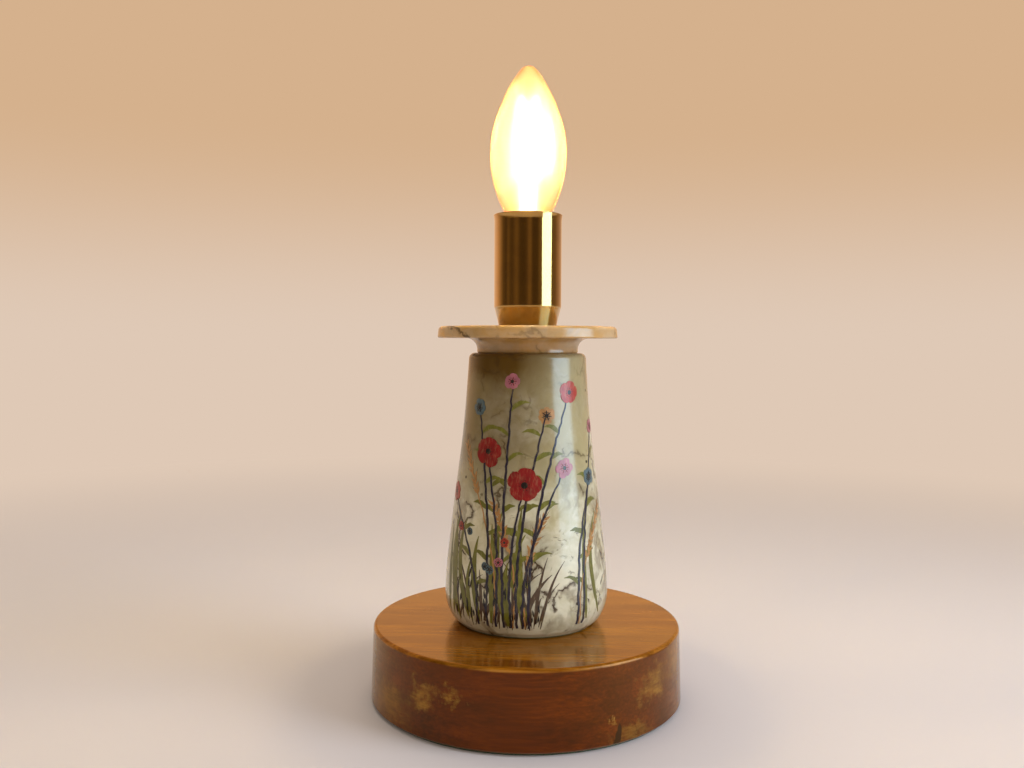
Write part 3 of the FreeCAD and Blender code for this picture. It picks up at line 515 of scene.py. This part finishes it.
# One brush stroke along a line of points, as wide at each point as widths says
def addStroke(colour, line, widths):
    last = len(line) - 1
    flat = bmesh.ops.create_grid(coats[colour], x_segments=last, y_segments=2, size=0.5)["verts"]
    for vert in flat:
        index = round((vert.co.x + 0.5) * last)
        ahead = line[min(index + 1, last)] - line[max(index - 1, 0)]
        aside = Vector((-ahead.y, ahead.x)).normalized() * vert.co.y * widths[index]
        vert.co = (*(line[index] + aside), 0)
    layPatch(colour, flat)


def addDot(colour, centre, radius):
    flat = bmesh.ops.create_circle(coats[colour], cap_ends=True, segments=9, radius=radius)["verts"]
    for vert in flat:
        vert.co += Vector((*centre, 0))
    layPatch(colour, flat)


# A step one unit long on the flat drawing, at an angle in radians from upright
def heading(angle):
    return Vector((math.sin(angle), math.cos(angle)))


# A point on the flat drawing, from an angle in degrees round the front and a height
def spotAt(angle, height):
    return Vector((math.radians(angle) * stoneRadius(height), height))


# A line that leaves the foot upright, bows to one side and trembles a little
def growLine(footAngle, headAngle, headHeight, bow):
    footHeight = painting["footHeight"]
    count = max(3, round((headHeight - footHeight) / painting["step"]))
    line = []
    for index in range(count + 1):
        t = index / count
        angle = footAngle + (headAngle - footAngle) * t * t + bow * math.sin(math.pi * t)
        point = spotAt(angle, footHeight + (headHeight - footHeight) * t)
        line.append(point + Vector((hand.uniform(-painting["tremble"], painting["tremble"]), 0)))
    return line


# Widths of a stroke: shares of the widest at its start and end, and the widest at the peak
def taper(count, widest, start, end, peak=0.4):
    widths = []
    for index in range(count):
        t = index / (count - 1)
        swell, edge = (t / peak, start) if t < peak else ((1 - t) / (1 - peak), end)
        widths.append(widest * (edge + (1 - edge) * math.sin(swell * math.pi / 2)))
    return widths


def paintLeaf(colour, root, direction, length, width, droop=0.0):
    count = max(4, round(length / painting["step"]) + 1)
    steps = [index / (count - 1) for index in range(count)]
    line = [root + heading(direction + droop * t * t) * length * t for t in steps]
    addStroke(colour, line, taper(count, width, 0.25, 0.1))


# A ring of overlapping petals, veined in some colours, round a dark heart with a ring of stamens
def paintBlossom(colour, centre, width, petals):
    start = hand.uniform(0, math.tau)
    for index in range(petals):
        out = heading(start + math.tau * (index + hand.uniform(-0.12, 0.12)) / petals)
        reach = width / 2 * hand.uniform(0.9, 1.08)
        broad = width * 2.5 / petals
        addStroke(colour, [centre + out * reach * t for t in painting["petalAlong"]],
                  [broad * w * hand.uniform(0.93, 1.07) for w in painting["petalWidths"]])
    for index in range(petals if colour in petalVeins else 0):
        out = heading(start + math.tau * index / petals)
        addStroke(petalVeins[colour], [centre + out * width * t for t in (0.1, 0.17, 0.24, 0.3)],
                  [0.35, 0.5, 0.4, 0.15])
    heart = width * painting["heart"]
    addDot("black", centre, heart + 0.25)
    for index in range(petals * 2):
        addDot("black", centre + heading(start + math.tau * index / petals / 2) * (heart + 0.95), 0.22)


def paintFlowers():
    for footAngle, headAngle, headHeight, colour, width, petals in flowers:
        side = 1 if headAngle > footAngle else -1
        line = growLine(footAngle, headAngle, headHeight, bow=-side * 2.5)
        addStroke("indigo", line, taper(len(line), painting["stemWidth"], 0.9, 0.5, 0.3))
        for index in range(8, len(line) - 4, 5):
            side = -side
            direction = 0.75 * side + hand.uniform(-0.2, 0.2)
            paintLeaf("olive", line[index], direction, hand.uniform(6, 10), hand.uniform(1.7, 2.4),
                      side * 0.5)
        paintBlossom(colour, line[-1], width, petals)


def paintEars():
    for footAngle, tipAngle, tipHeight in ears:
        side = 1 if tipAngle > footAngle else -1
        line = growLine(footAngle, tipAngle, tipHeight, bow=-side * 3.5)
        addStroke("ochre", line, taper(len(line), 0.7, 0.9, 0.4, 0.3))
        for index in range(max(2, len(line) - 10), len(line)):
            ahead = line[index] - line[index - 1]
            direction = math.atan2(ahead.x, ahead.y)
            for lean in (-0.55, 0.55):
                paintLeaf("ochre", line[index], direction + lean, 3.4, 1.25)
            paintLeaf("brown", line[index], direction + hand.uniform(-0.7, 0.7), 5.0, 0.28)


# Blades and tufts round the foot: long olive leaves, brown grass flecked with black, and low flowers
def paintGrass():
    foot = painting["footHeight"]
    for angle in painting["bladeAngles"]:
        lean = hand.uniform(-0.42, 0.42)
        paintLeaf("olive", spotAt(angle + hand.uniform(-2, 2), foot + hand.uniform(0, 3)), lean,
                  hand.uniform(26, 52), painting["leafWidth"] * hand.uniform(0.7, 1.1), -lean * 0.9)
    for index in range(painting["grassBlades"]):
        angle = hand.uniform(-58, 12)
        lean = hand.uniform(-0.3, 0.3)
        root = spotAt(angle, foot + hand.uniform(-1.5, 2))
        paintLeaf("brown", root, lean, hand.uniform(12, 34), hand.uniform(1.0, 2.2), lean)
    for index in range(painting["grassFlecks"]):
        angle = hand.uniform(-56, 10)
        height = foot + hand.uniform(1, 24) * hand.uniform(0.6, 1)
        paintLeaf("black", spotAt(angle, height), hand.uniform(-0.2, 0.2), hand.uniform(2.4, 4.2), 0.75)
    for index in range(painting["lowFlowers"]):
        angle = hand.uniform(-60, 5)
        colour = hand.choice(("pink", "scarlet", "blue_grey"))
        paintBlossom(colour, spotAt(angle, hand.uniform(58, 84)), hand.uniform(3.2, 4.6), 5)


# Enamel laid on with a brush: solid colour with streaks of thinner paint and a soft gloss
enamel = {
    "streakSize": 0.9,
    "streakStretch": (1, 1, 0.25),
    "thinPaint": (0.46, 0.74, 0.0, 0.22),
    "poolSize": 3.4,
    "poolTones": (0.3, 0.7, 0.72, 1.12),
    "gloss": {"Roughness": 0.3, "IOR": 1.5},
    "streakDepth": 0.03,
}


def makePaint(colour, hexColour):
    material, add, place = newMaterial("brushed enamel " + colour.replace("_", " "), (7, 3, 0))
    streaks = addDrawnOut(add, place, enamel["streakSize"], enamel["streakStretch"], Detail=4.0,
                          Roughness=0.6)
    pooled = add("TexNoise", (place, 1 / enamel["poolSize"], 3.0))
    thin = add("MapRange", (streaks, *enamel["thinPaint"]), **smooth)
    worn = add("Mix", (thin, hexColour, alabaster["cream"]), **inColour)
    shaded = add("VectorMath SCALE", (worn, add("MapRange", (pooled, *enamel["poolTones"]))))
    shader = add("BsdfPrincipled", {"Base Color": shaded, **enamel["gloss"]})
    return closeMaterial(material, shader, streaks, enamel["streakDepth"])


def finishPainting():
    for colour, coat in coats.items():
        bmesh.ops.recalc_face_normals(coat, faces=coat.faces[:])
        piece = addObject("paint_" + colour, coat)
        piece.data.materials.append(makePaint(colour, paintColours[colour]))
        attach(piece, "lamp")


paintGrass()
paintEars()
paintFlowers()
finishPainting()
print("column painted")

# Base: a disc of reddish hardwood, stained golden brown and varnished.
# It gives straight fine grain along X under a coat that mirrors what stands on it, worn pale in patches.
wood = {
    "stain": ((0.37, "#542e03"), (0.5, "#7d4f0b"), (0.63, "#a87823")),    # the grain's value, and its colour
    "pore": "#301905",
    "honey": "#8f6c1f",
    "worn": "#ad9254",
    # worn stain and a painted highlight along the rim
    "edge": "#cfa06a",
    "rawPale": "#dcb183",
    "rawDark": "#8d6340",
    "crack": "#0d0508",
    # painted shade that darkens the side
    "paintedSideShade": "#9a6422",
    # Sizes and depths in millimetres
    "swaySize": 60.0,
    "swayReach": 7.0,
    "streakWidth": 1.1,
    "streakDepth": 0.015,
    "figureWidth": 9.0,
    "poreWidth": 0.5,     # drawn wider than the real 0.2 mm so that it shows
    "honeySize": 48.0,
    "rubWidth": 1.8,
    "bendSize": 6.0,
    "bendReach": 26.0,
    "rimMiddle": 0.9,     # how far below the top the worn line with its painted highlight runs
    "rimInner": 3.2,
    "rimOuter": 2.0,
    "feltInset": 5.0,
    # Ranges: the pattern's value from and to, and the result at each
    "honeyHere": (0.44, 0.64, 0.0, 0.4),
    "poreShape": (0.58, 0.74, 0.0, 0.4),
    "scratches": (0.36, 0.62, 0.25, 1.3),
    "rimWearAndHighlight": (0.1, 0.7, 1.0, 0.0),
    "rimPatches": (0.4, 0.65, 0.0, 0.5),
    "handled": (0.35, 0.75, 0.8, 1.4),
    "grainTurn": 3,     # degrees
    # Stretches: width over length on each axis
    "streakStretch": (1.1 / 46, 1, 1),
    "poreStretch": (0.5 / 11, 1, 1),
    "figureStretch": (0.16, 1, 1.3),
    "rubStretch": (0.14, 0.14, 1),
    "topRoughness": 0.22,
    "sideRoughness": 0.38,
    "rawRoughness": 0.85,
    "varnish": {"IOR": 1.62, "Specular Tint": "#ffb860", "Coat Weight": 1.0, "Coat Roughness": 0.16,
                "Coat IOR": 1.25, "Coat Tint": "#fce3a2"},
}

# Patches where the stain is rubbed off the side: angle round the front, height, half width and half height,
# and share
rubbedPatches = ((-37, 19.0, 12, 9.0, 0.6), (-25, 21.5, 7, 5.0, 0.5), (-56, 10.0, 24, 14.0, 0.4),
                 (49, 21.0, 15, 10.0, 0.5), (29, 10.5, 5.0, 2.6, 0.6), (66, 26.0, 15, 11.0, 0.4),
                 (38, 4.0, 16, 6.0, 0.3))

# The crack in the bottom edge, from its foot to its tip: angle, height, half width, half height
crackSpots = ((31.0, 1.0, 2.1, 3.6), (31.7, 4.4, 1.8, 3.2), (32.3, 7.0, 1.3, 3.4))


# 1 in the core of a spot on the base's side and 0 outside it. The angle is round the front, and turned with
# the grain. The other sizes are in millimetres.
def addSideSpot(add, place, angle, height, halfWidth, halfHeight, core):
    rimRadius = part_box("wood_base")[1].x / mm
    turned = math.radians(angle + wood["grainTurn"])
    centre = (math.sin(turned) * rimRadius, -math.cos(turned) * rimRadius, height)
    away = add("VectorMath SUBTRACT", (place, centre))
    shares = add("VectorMath DIVIDE", (away, (halfWidth, halfWidth, halfHeight)))
    return add("MapRange", (add("VectorMath LENGTH", shares), core, 1.0, 1.0, 0.0), **smooth)


def makeWood():
    material, add, place = newMaterial("varnished hardwood", turn=(0, 0, wood["grainTurn"]))
    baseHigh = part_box("wood_base")[1]
    topZ, rimRadius = baseHigh.z / mm, baseHigh.x / mm
    sway = add("TexNoise", (place, 1 / wood["swaySize"], 2.0))
    swayed = pushAside(add, place, sway, wood["swayReach"], bothSides=False)
    streaks = addDrawnOut(add, swayed, wood["streakWidth"], wood["streakStretch"], Detail=5.0, Roughness=0.6)
    figured = add("Mapping", {"Vector": swayed, "Location": (3, 8, 1), "Scale": wood["figureStretch"]})
    figure = add("TexNoise", (figured, 1 / wood["figureWidth"], 4.0, 0.5))
    pores = addDrawnOut(add, place, wood["poreWidth"], wood["poreStretch"], Detail=2.0)
    grain = add("Mix", (0.5, figure, streaks))
    colour = add("ValToRGB", grain, wood["stain"])
    # The stain took unevenly: honey-coloured where the wood drank less of it
    uneven = add("TexNoise", (place, 5.0, 1 / wood["honeySize"], 3.0), **another)
    honeyHere = add("MapRange", (uneven, *wood["honeyHere"]), **smooth)
    colour = add("Mix", (honeyHere, colour, wood["honey"]), **inColour)
    colour = add("Mix", (add("MapRange", (pores, *wood["poreShape"])), colour, wood["pore"]), **inColour)

    # Painted shade: the side is painted darker than the top
    axes = add("SeparateXYZ", place).outputs
    radius = add("VectorMath LENGTH", add("CombineXYZ", (axes["X"], axes["Y"])))
    onTop = add("MapRange", (axes["Z"], topZ - 1.6, topZ - 0.5))
    paintedSideShade = add("Mix", (onTop, wood["paintedSideShade"], "#ffffff"), **inColour)
    colour = add("Mix", (1.0, colour, paintedSideShade), blend_type="MULTIPLY", **inColour)

    # Rubbed patches, scratched along the grain: the scratches run together where the spot is strong
    layers = []
    rub = addDrawnOut(add, place, wood["rubWidth"], wood["rubStretch"], Detail=7.0, Roughness=0.75)
    scratches = add("MapRange", (rub, *wood["scratches"]))
    bent = pushAside(add, place, add("TexNoise", (place, 1 / wood["bendSize"], 4.0, 0.65)), wood["bendReach"])
    for *spot, most in rubbedPatches:
        rubbed = add("Math MULTIPLY", (addSideSpot(add, bent, *spot, core=0.0), scratches))
        layers.append((add("MapRange", (rubbed, 0.05, 1.0, 0.0, most)), wood["worn"]))
    for spot in crackSpots:
        layers.append((addSideSpot(add, place, *spot, core=0.7), wood["crack"]))

    # The rounded rim has lost some of its stain, and is also painted paler as a highlight
    fromRim = add("Math SUBTRACT", (axes["Z"], topZ - wood["rimMiddle"]))
    nearRim = add("MapRange", (add("Math ABSOLUTE", fromRim), *wood["rimWearAndHighlight"]))
    outer = add("MapRange", (radius, rimRadius - wood["rimInner"], rimRadius - wood["rimOuter"]))
    rimPatches = add("MapRange", (figure, *wood["rimPatches"]))
    layers.append((add("Math MULTIPLY", (add("Math MULTIPLY", (nearRim, outer)), rimPatches)), wood["edge"]))

    # Under the felt and inside the pocket the wood is raw
    within = add("Math LESS_THAN", (radius, rimRadius - wood["feltInset"]))
    below = add("Math LESS_THAN", (axes["Z"], topZ - 1.0))
    raw = add("Math MULTIPLY", (within, below))
    layers.append((raw, add("Mix", (grain, wood["rawDark"], wood["rawPale"]), **inColour)))
    for share, over in layers:
        colour = add("Mix", (share, colour, over), **inColour)

    # The varnish is polished on the top and dulled by hands on the side
    faceGloss = add("MapRange", (onTop, 0.0, 1.0, wood["sideRoughness"], wood["topRoughness"]))
    varnished = add("Math MULTIPLY", (faceGloss, add("MapRange", (rub, *wood["handled"]))))
    dull = add("Math MAXIMUM", (varnished, add("Math MULTIPLY", (raw, wood["rawRoughness"]))))
    shader = add("BsdfPrincipled", {"Base Color": colour, "Roughness": dull, **wood["varnish"]})
    return closeMaterial(material, shader, streaks, wood["streakDepth"])


dress(makeWood(), "wood_base")
print("wood dressed")

# Holder: spun brass tube and cap, polished and lacquered, with the haze that hands leave.
# It gives dark mirror reflections edged in gold.
brass = {
    "bright": "#c29840",
    "tarnish": "#ac8237",
    "smudgeSize": 9.0,
    "tarnished": (0.4, 0.72, 0.0, 0.6),
    "gloss": (0.35, 0.75, 0.08, 0.12),    # the smudges' value from and to, and the roughness at each
    "turningPitch": 0.5,     # rings of the lathe, drawn this far apart so that they show
    "turningDepth": 0.0012,
    "lacquer": {"Coat Weight": 1.0, "Coat Roughness": 0.06, "Coat IOR": 1.7},
}


def makePolishedBrass(name, shift, satin):
    material, add, place = newMaterial(name, shift)
    smudge = add("TexNoise", (place, 1 / brass["smudgeSize"], 6.0, 0.65))
    share = add("MapRange", (smudge, *brass["tarnished"]), **smooth)
    rings = add("TexWave", {"Vector": place, "Scale": 0.5 / brass["turningPitch"], "Distortion": 0.6},
                bands_direction="Z")
    clean, smudged, glossy, dull = brass["gloss"]
    shader = add("BsdfPrincipled", {
        "Base Color": add("Mix", (share, brass["bright"], brass["tarnish"]), **inColour), "Metallic": 1.0,
        "Roughness": add("MapRange", (smudge, clean, smudged, glossy + satin, dull + satin)),
        **brass["lacquer"]})
    return closeMaterial(material, shader, rings, brass["turningDepth"])


dress(makePolishedBrass("polished brass tube", (0, 0, 0), 0.0), "holder_sleeve")
dress(makePolishedBrass("satin brass cap", (30, 9, 4), 0.06), "holder_cap")
print("brass dressed")

# Bulb: blown glass with an amber tint, lit from inside. Its haze spreads the glow of the filaments.
glass = {
    "tint": "#fff8ea",
    "edgeTint": "#eda038",
    "edgeFacing": (0.3, 0.8),
    "haze": 0.37,
    "rippleSize": 14.0,
    "absorb": "#ffdc80",
    "absorbDensity": 1000.0,
    "filament": "#ffe6ac",
    "filamentStrength": 530.0,
    "phosphor": ("#ffc95e", "#e8a94a"),
    "beadSize": 0.8,
    "stem": "#f4f8f2",
    "stemRippleSize": 4.0,
    "stemGlow": 14.0,     # light that the filaments throw into the foot of the stem
    "relief": 0.05,
}


def makeGlass():
    material, add, place = newMaterial("amber tinted glass")
    # The glass is looked through lengthwise at its edge, so it is deeper amber there
    edge = add("LayerWeight", {"Blend": 0.5}).outputs["Facing"]
    edgeShare = add("MapRange", (edge, *glass["edgeFacing"]), **smooth)
    shader = add("BsdfPrincipled", {
        "Base Color": add("Mix", (edgeShare, glass["tint"], glass["edgeTint"]), **inColour),
        "Roughness": glass["haze"], "IOR": 1.5, "Transmission Weight": 1.0, "Coat Weight": 1.0,
        "Coat Roughness": 0.02})
    ripple = add("TexNoise", (place, 1 / glass["rippleSize"], 2.0))
    volume = add("VolumeAbsorption", (glass["absorb"], glass["absorbDensity"]))
    return closeMaterial(material, shader, ripple, glass["relief"], Volume=volume)


# Yellow phosphor over the strips of chips, so bright that it reads as white
def makeFilament():
    material, add, place = newMaterial("glowing phosphor")
    beads = add("TexNoise", (place, 1 / glass["beadSize"], 2.0))
    shader = add("BsdfPrincipled", {
        "Base Color": add("Mix", (beads, *glass["phosphor"]), **inColour), "Roughness": 0.8,
        "Emission Color": glass["filament"], "Emission Strength": glass["filamentStrength"]})
    return closeMaterial(material, shader, beads, glass["relief"])


def makeClearGlass():
    material, add, place = newMaterial("clear lead glass")
    ripple = add("TexNoise", (place, 1 / glass["stemRippleSize"], 2.0))
    shader = add("BsdfPrincipled", {
        "Base Color": glass["stem"], "Roughness": 0.02, "IOR": 1.52, "Transmission Weight": 1.0,
        "Emission Color": glass["filament"], "Emission Strength": glass["stemGlow"]})
    return closeMaterial(material, shader, ripple, glass["relief"])


dress(makeGlass(), "bulb_glass")
dress(makeFilament(), "bulb_filaments")
dress(makeClearGlass(), "bulb_stem")
cadNodes["bulb_glass"].visible_shadow = False
print("bulb lit")

# Finishes of the small parts: colour, colour of the patches and their size, metallic, roughness from and to,
# grain, its depth, and how far it is drawn out along Z. Sizes are millimetres.
finishes = {
    # Barrel-plated zinc over steel: grey-blue with yellowish blooms and a fine crystalline sparkle
    "bright zinc plating": ("#b3b7b8", "#a9a798", 2.6, 1.0, (0.26, 0.4), 0.35, 0.008, 1.0),
    # Stamped brass strip: pale gold, browner where it has tarnished, with rolling lines
    "stamped brass": ("#cda95f", "#95733a", 3.0, 1.0, (0.22, 0.46), 0.3, 0.006, 0.2),
    # Nickel over a drawn brass cap: warm silver with handling haze
    "nickel plated brass": ("#c3beb2", "#9c9384", 3.5, 1.0, (0.14, 0.34), 0.4, 0.005, 1.0),
    # Solder that froze as a drop: dull grey with a frosted skin
    "frozen solder": ("#a2a3a1", "#7f7f7c", 1.0, 1.0, (0.32, 0.55), 0.5, 0.04, 1.0),
    # Nickel-iron support wire: grey, heat-tinted brown in places
    "nickel iron wire": ("#8d8a84", "#6d5a47", 4.0, 1.0, (0.28, 0.5), 0.3, 0.004, 0.2),
    # Moulded phenolic: dark brown, faintly marbled by the filler, with an eggshell gloss
    "brown phenolic": ("#2c1a10", "#3d2616", 1.8, 0.0, (0.28, 0.42), 0.5, 0.012, 1.0),
    # Moulded polyamide: milky white with yellowed thin places and a fine spark-eroded texture
    "white polyamide": ("#dcd8ca", "#cdc4a8", 5.0, 0.0, (0.34, 0.5), 0.35, 0.012, 1.0),
    # Glazed electrical porcelain: warm white under a thick gloss, with pinholes and grey specks
    "glazed porcelain": ("#e4dfd2", "#dad2c2", 6.0, 0.0, (0.06, 0.14), 1.1, 0.012, 1.0),
    # Fused black glass round the solder: almost mirror-like
    "black fused glass": ("#0e0d10", "#1b1820", 2.0, 0.0, (0.04, 0.12), 1.5, 0.01, 1.0),
}


def makeFinish(name, shift=(0, 0, 0)):
    colour, patch, patchSize, metallic, roughness, grainSize, depth, stretch = finishes[name]
    material, add, place = newMaterial(name, shift)
    bloom = add("TexNoise", (place, 1 / patchSize, 5.0, 0.62))
    share = add("MapRange", (bloom, 0.42, 0.7), **smooth)
    grain = addDrawnOut(add, place, grainSize, (1, 1, stretch), Detail=3.0)
    unevenness = add("Mix", (0.4, bloom, grain))
    shader = add("BsdfPrincipled", {
        "Base Color": add("Mix", (share, colour, patch), **inColour), "Metallic": metallic,
        "Roughness": add("MapRange", (unevenness, 0.32, 0.68, *roughness))})
    return closeMaterial(material, shader, grain, depth)


dress(makeFinish("bright zinc plating"), "base_cover_screws", "terminal_block_screws", "block_fixing_screw",
      "base_nut", "base_lock_washer", "base_washer", "threaded_tube", "holder_bracket", "top_nut",
      "insert_screws", "terminal_screws")
dress(makeFinish("stamped brass", (5, 2, 9)), "terminal_block_clamps", "live_terminal", "neutral_terminal",
      "contact_tongue", "screw_shell")
dress(makeFinish("nickel iron wire"), "bulb_leads", "bulb_frame")
dress(makeFinish("nickel plated brass"), "bulb_cap")
dress(makeFinish("frozen solder"), "bulb_contact")
dress(makeFinish("brown phenolic"), "cord_bush")
dress(makeFinish("white polyamide"), "terminal_block")
dress(makeFinish("glazed porcelain"), "porcelain_insert")
dress(makeFinish("black fused glass"), "bulb_insulator")
print("small parts dressed")

# Felt: pressed green wool. Loose fibres in every direction, matt, with a light nap at the edge.
felt = {"tones": ((0.48, "#2c3723"), (0.7, "#56623f")), "lint": "#8a8f74", "fibreWidth": 0.35,
        "fibreStretch": (0.35 / 2.6, 1, 1), "fibreTurns": (0, 52, 118), "fibreCurl": 1.2, "depth": 0.18}


def makeFelt():
    material, add, place = newMaterial("green wool felt")
    fibres = None
    for turn in felt["fibreTurns"]:
        layer = addDrawnOut(add, place, felt["fibreWidth"], felt["fibreStretch"], turn, Detail=3.0,
                            Distortion=felt["fibreCurl"])
        fibres = add("Math MAXIMUM", (fibres, layer)) if fibres else layer
    mat = add("ValToRGB", fibres, felt["tones"])
    lint = add("MapRange", (fibres, 0.7, 0.78, 0.0, 0.6))
    shader = add("BsdfPrincipled", {"Base Color": add("Mix", (lint, mat, felt["lint"]), **inColour),
                                    "Roughness": 0.95, "Sheen Weight": 0.35, "Sheen Roughness": 0.4})
    return closeMaterial(material, shader, fibres, felt["depth"])


# Hardboard: steam-pressed wood fibre, brown, with pale and dark splinters and a slightly glazed face
hardboard = {"tones": ((0.36, "#432a17"), (0.5, "#6f4a2a"), (0.66, "#8f6a42")), "fibreWidth": 0.4,
             "fibreStretch": (0.4 / 3, 1, 1), "fibreTurn": 34.37747, "fibreCurl": 2.2, "mottleSize": 5.0,
             "roughness": (0.45, 0.75), "depth": 0.05}


def makeHardboard():
    material, add, place = newMaterial("pressed hardboard")
    mottle = add("TexNoise", (place, 1 / hardboard["mottleSize"], 4.0))
    fibres = addDrawnOut(add, place, hardboard["fibreWidth"], hardboard["fibreStretch"],
                         hardboard["fibreTurn"], Detail=3.0, Distortion=hardboard["fibreCurl"])
    colour = add("ValToRGB", add("Mix", (0.65, mottle, fibres)), hardboard["tones"])
    shader = add("BsdfPrincipled", {
        "Base Color": colour, "Roughness": add("MapRange", (mottle, 0.0, 1.0, *hardboard["roughness"]))})
    return closeMaterial(material, shader, fibres, hardboard["depth"])


# Liner: vulcanised fibre paper rolled into a tube. Buff, with short fibres and a waxy hand.
linerPaper = {"tones": ((0.34, "#5d4c31"), (0.48, "#8c7955"), (0.68, "#a8966f")), "fibreWidth": 0.4,
              "fibreStretch": (1, 1, 0.3), "fibreCurl": 1.5, "roughness": 0.68, "depth": 0.03}


def makeLinerPaper():
    material, add, place = newMaterial("vulcanised fibre paper")
    fibres = addDrawnOut(add, place, linerPaper["fibreWidth"], linerPaper["fibreStretch"], Detail=4.0,
                         Distortion=linerPaper["fibreCurl"])
    shader = add("BsdfPrincipled", {"Base Color": add("ValToRGB", fibres, linerPaper["tones"]),
                                    "Roughness": linerPaper["roughness"]})
    return closeMaterial(material, shader, fibres, linerPaper["depth"])


# Inner leads: extruded PVC with a soft gloss, and bright copper strands where the ends are stripped.
# Both ends are bare: above one height, and behind and below the places in the terminal block.
leads = {"brown": "#4a2513", "blue": "#1f4f8f", "dust": "#b9aa98", "copper": "#c67a4a", "strandPitch": 0.35,
         "strandDepth": 0.03, "scuffSize": 1.5, "roughness": (0.3, 0.5),
         "strippedTop": 185.7, "strippedBack": 12.8, "blockTop": 30.0}


def makeLead(name, hexColour):
    material, add, place = newMaterial(name)
    axes = add("SeparateXYZ", place).outputs
    top = add("Math GREATER_THAN", (axes["Z"], leads["strippedTop"]))
    near = add("Math GREATER_THAN", (axes["Y"], leads["strippedBack"]))
    low = add("Math LESS_THAN", (axes["Z"], leads["blockTop"]))
    bare = add("Math MAXIMUM", (top, add("Math MULTIPLY", (near, low))))
    scuffs = add("TexNoise", (place, 1 / leads["scuffSize"], 4.0))
    dusty = add("Mix", (add("MapRange", (scuffs, 0.5, 0.8, 0.0, 0.3)), hexColour, leads["dust"]), **inColour)
    strands = add("TexWave", {"Vector": place, "Scale": 0.5 / leads["strandPitch"]},
                  bands_direction="DIAGONAL")
    height = add("Math MULTIPLY", (strands.outputs["Fac"], bare))
    shader = add("BsdfPrincipled", {
        "Base Color": add("Mix", (bare, dusty, leads["copper"]), **inColour), "Metallic": bare,
        "Roughness": add("MapRange", (scuffs, 0.0, 1.0, *leads["roughness"]))})
    return closeMaterial(material, shader, height, leads["strandDepth"])


# Driver: a green lacquered board with copper tracks, a black capacitor can and a grey rectifier
driver = {"lacquer": "#1d5a35", "track": "#3c8a4f", "can": "#17181c", "canStripe": "#8e9296",
          "rectifier": "#2b2d30", "boardHalf": 0.56, "trackPitch": 1.2, "trackGap": 0.12, "stripeFrom": 0.9,
          "mottleSize": 0.8, "mottleTones": (0.8, 1.15), "roughness": (0.2, 0.45), "depth": 0.02}


def makeDriver():
    material, add, place = newMaterial("lacquered circuit board")
    axes = add("SeparateXYZ", place).outputs
    squares = add("TexBrick", {
        "Vector": add("Mapping", {"Vector": place, "Rotation": (math.radians(90), 0, 0)}),
        "Color1": driver["track"], "Color2": driver["lacquer"], "Mortar": driver["lacquer"], "Scale": 1.0,
        "Mortar Size": driver["trackGap"], "Brick Width": driver["trackPitch"] * 2,
        "Row Height": driver["trackPitch"]})
    behind = add("Math GREATER_THAN", (axes["Y"], driver["boardHalf"]))
    before = add("Math LESS_THAN", (axes["Y"], -driver["boardHalf"]))
    stripe = add("Math GREATER_THAN", (axes["X"], driver["stripeFrom"]))
    mottle = add("TexNoise", (place, 1 / driver["mottleSize"], 4.0))
    can = add("Mix", (stripe, driver["can"], driver["canStripe"]), **inColour)
    withCan = add("Mix", (before, squares.outputs["Color"], can), **inColour)
    withBoth = add("Mix", (behind, withCan, driver["rectifier"]), **inColour)
    shade = add("MapRange", (mottle, 0.0, 1.0, *driver["mottleTones"]))
    shader = add("BsdfPrincipled", {
        "Base Color": add("VectorMath SCALE", (withBoth, shade)),
        "Roughness": add("MapRange", (mottle, 0.0, 1.0, *driver["roughness"]))})
    return closeMaterial(material, shader, squares.outputs["Fac"], driver["depth"])


dress(makeFelt(), "felt_pad", "foot_gasket")
dress(makeHardboard(), "base_cover")
dress(makeLinerPaper(), "holder_liner")
dress(makeLead("brown PVC lead", leads["brown"]), "live_wire")
dress(makeLead("blue PVC lead", leads["blue"]), "neutral_wire")
dress(makeDriver(), "bulb_driver")
print("soft parts and leads dressed")
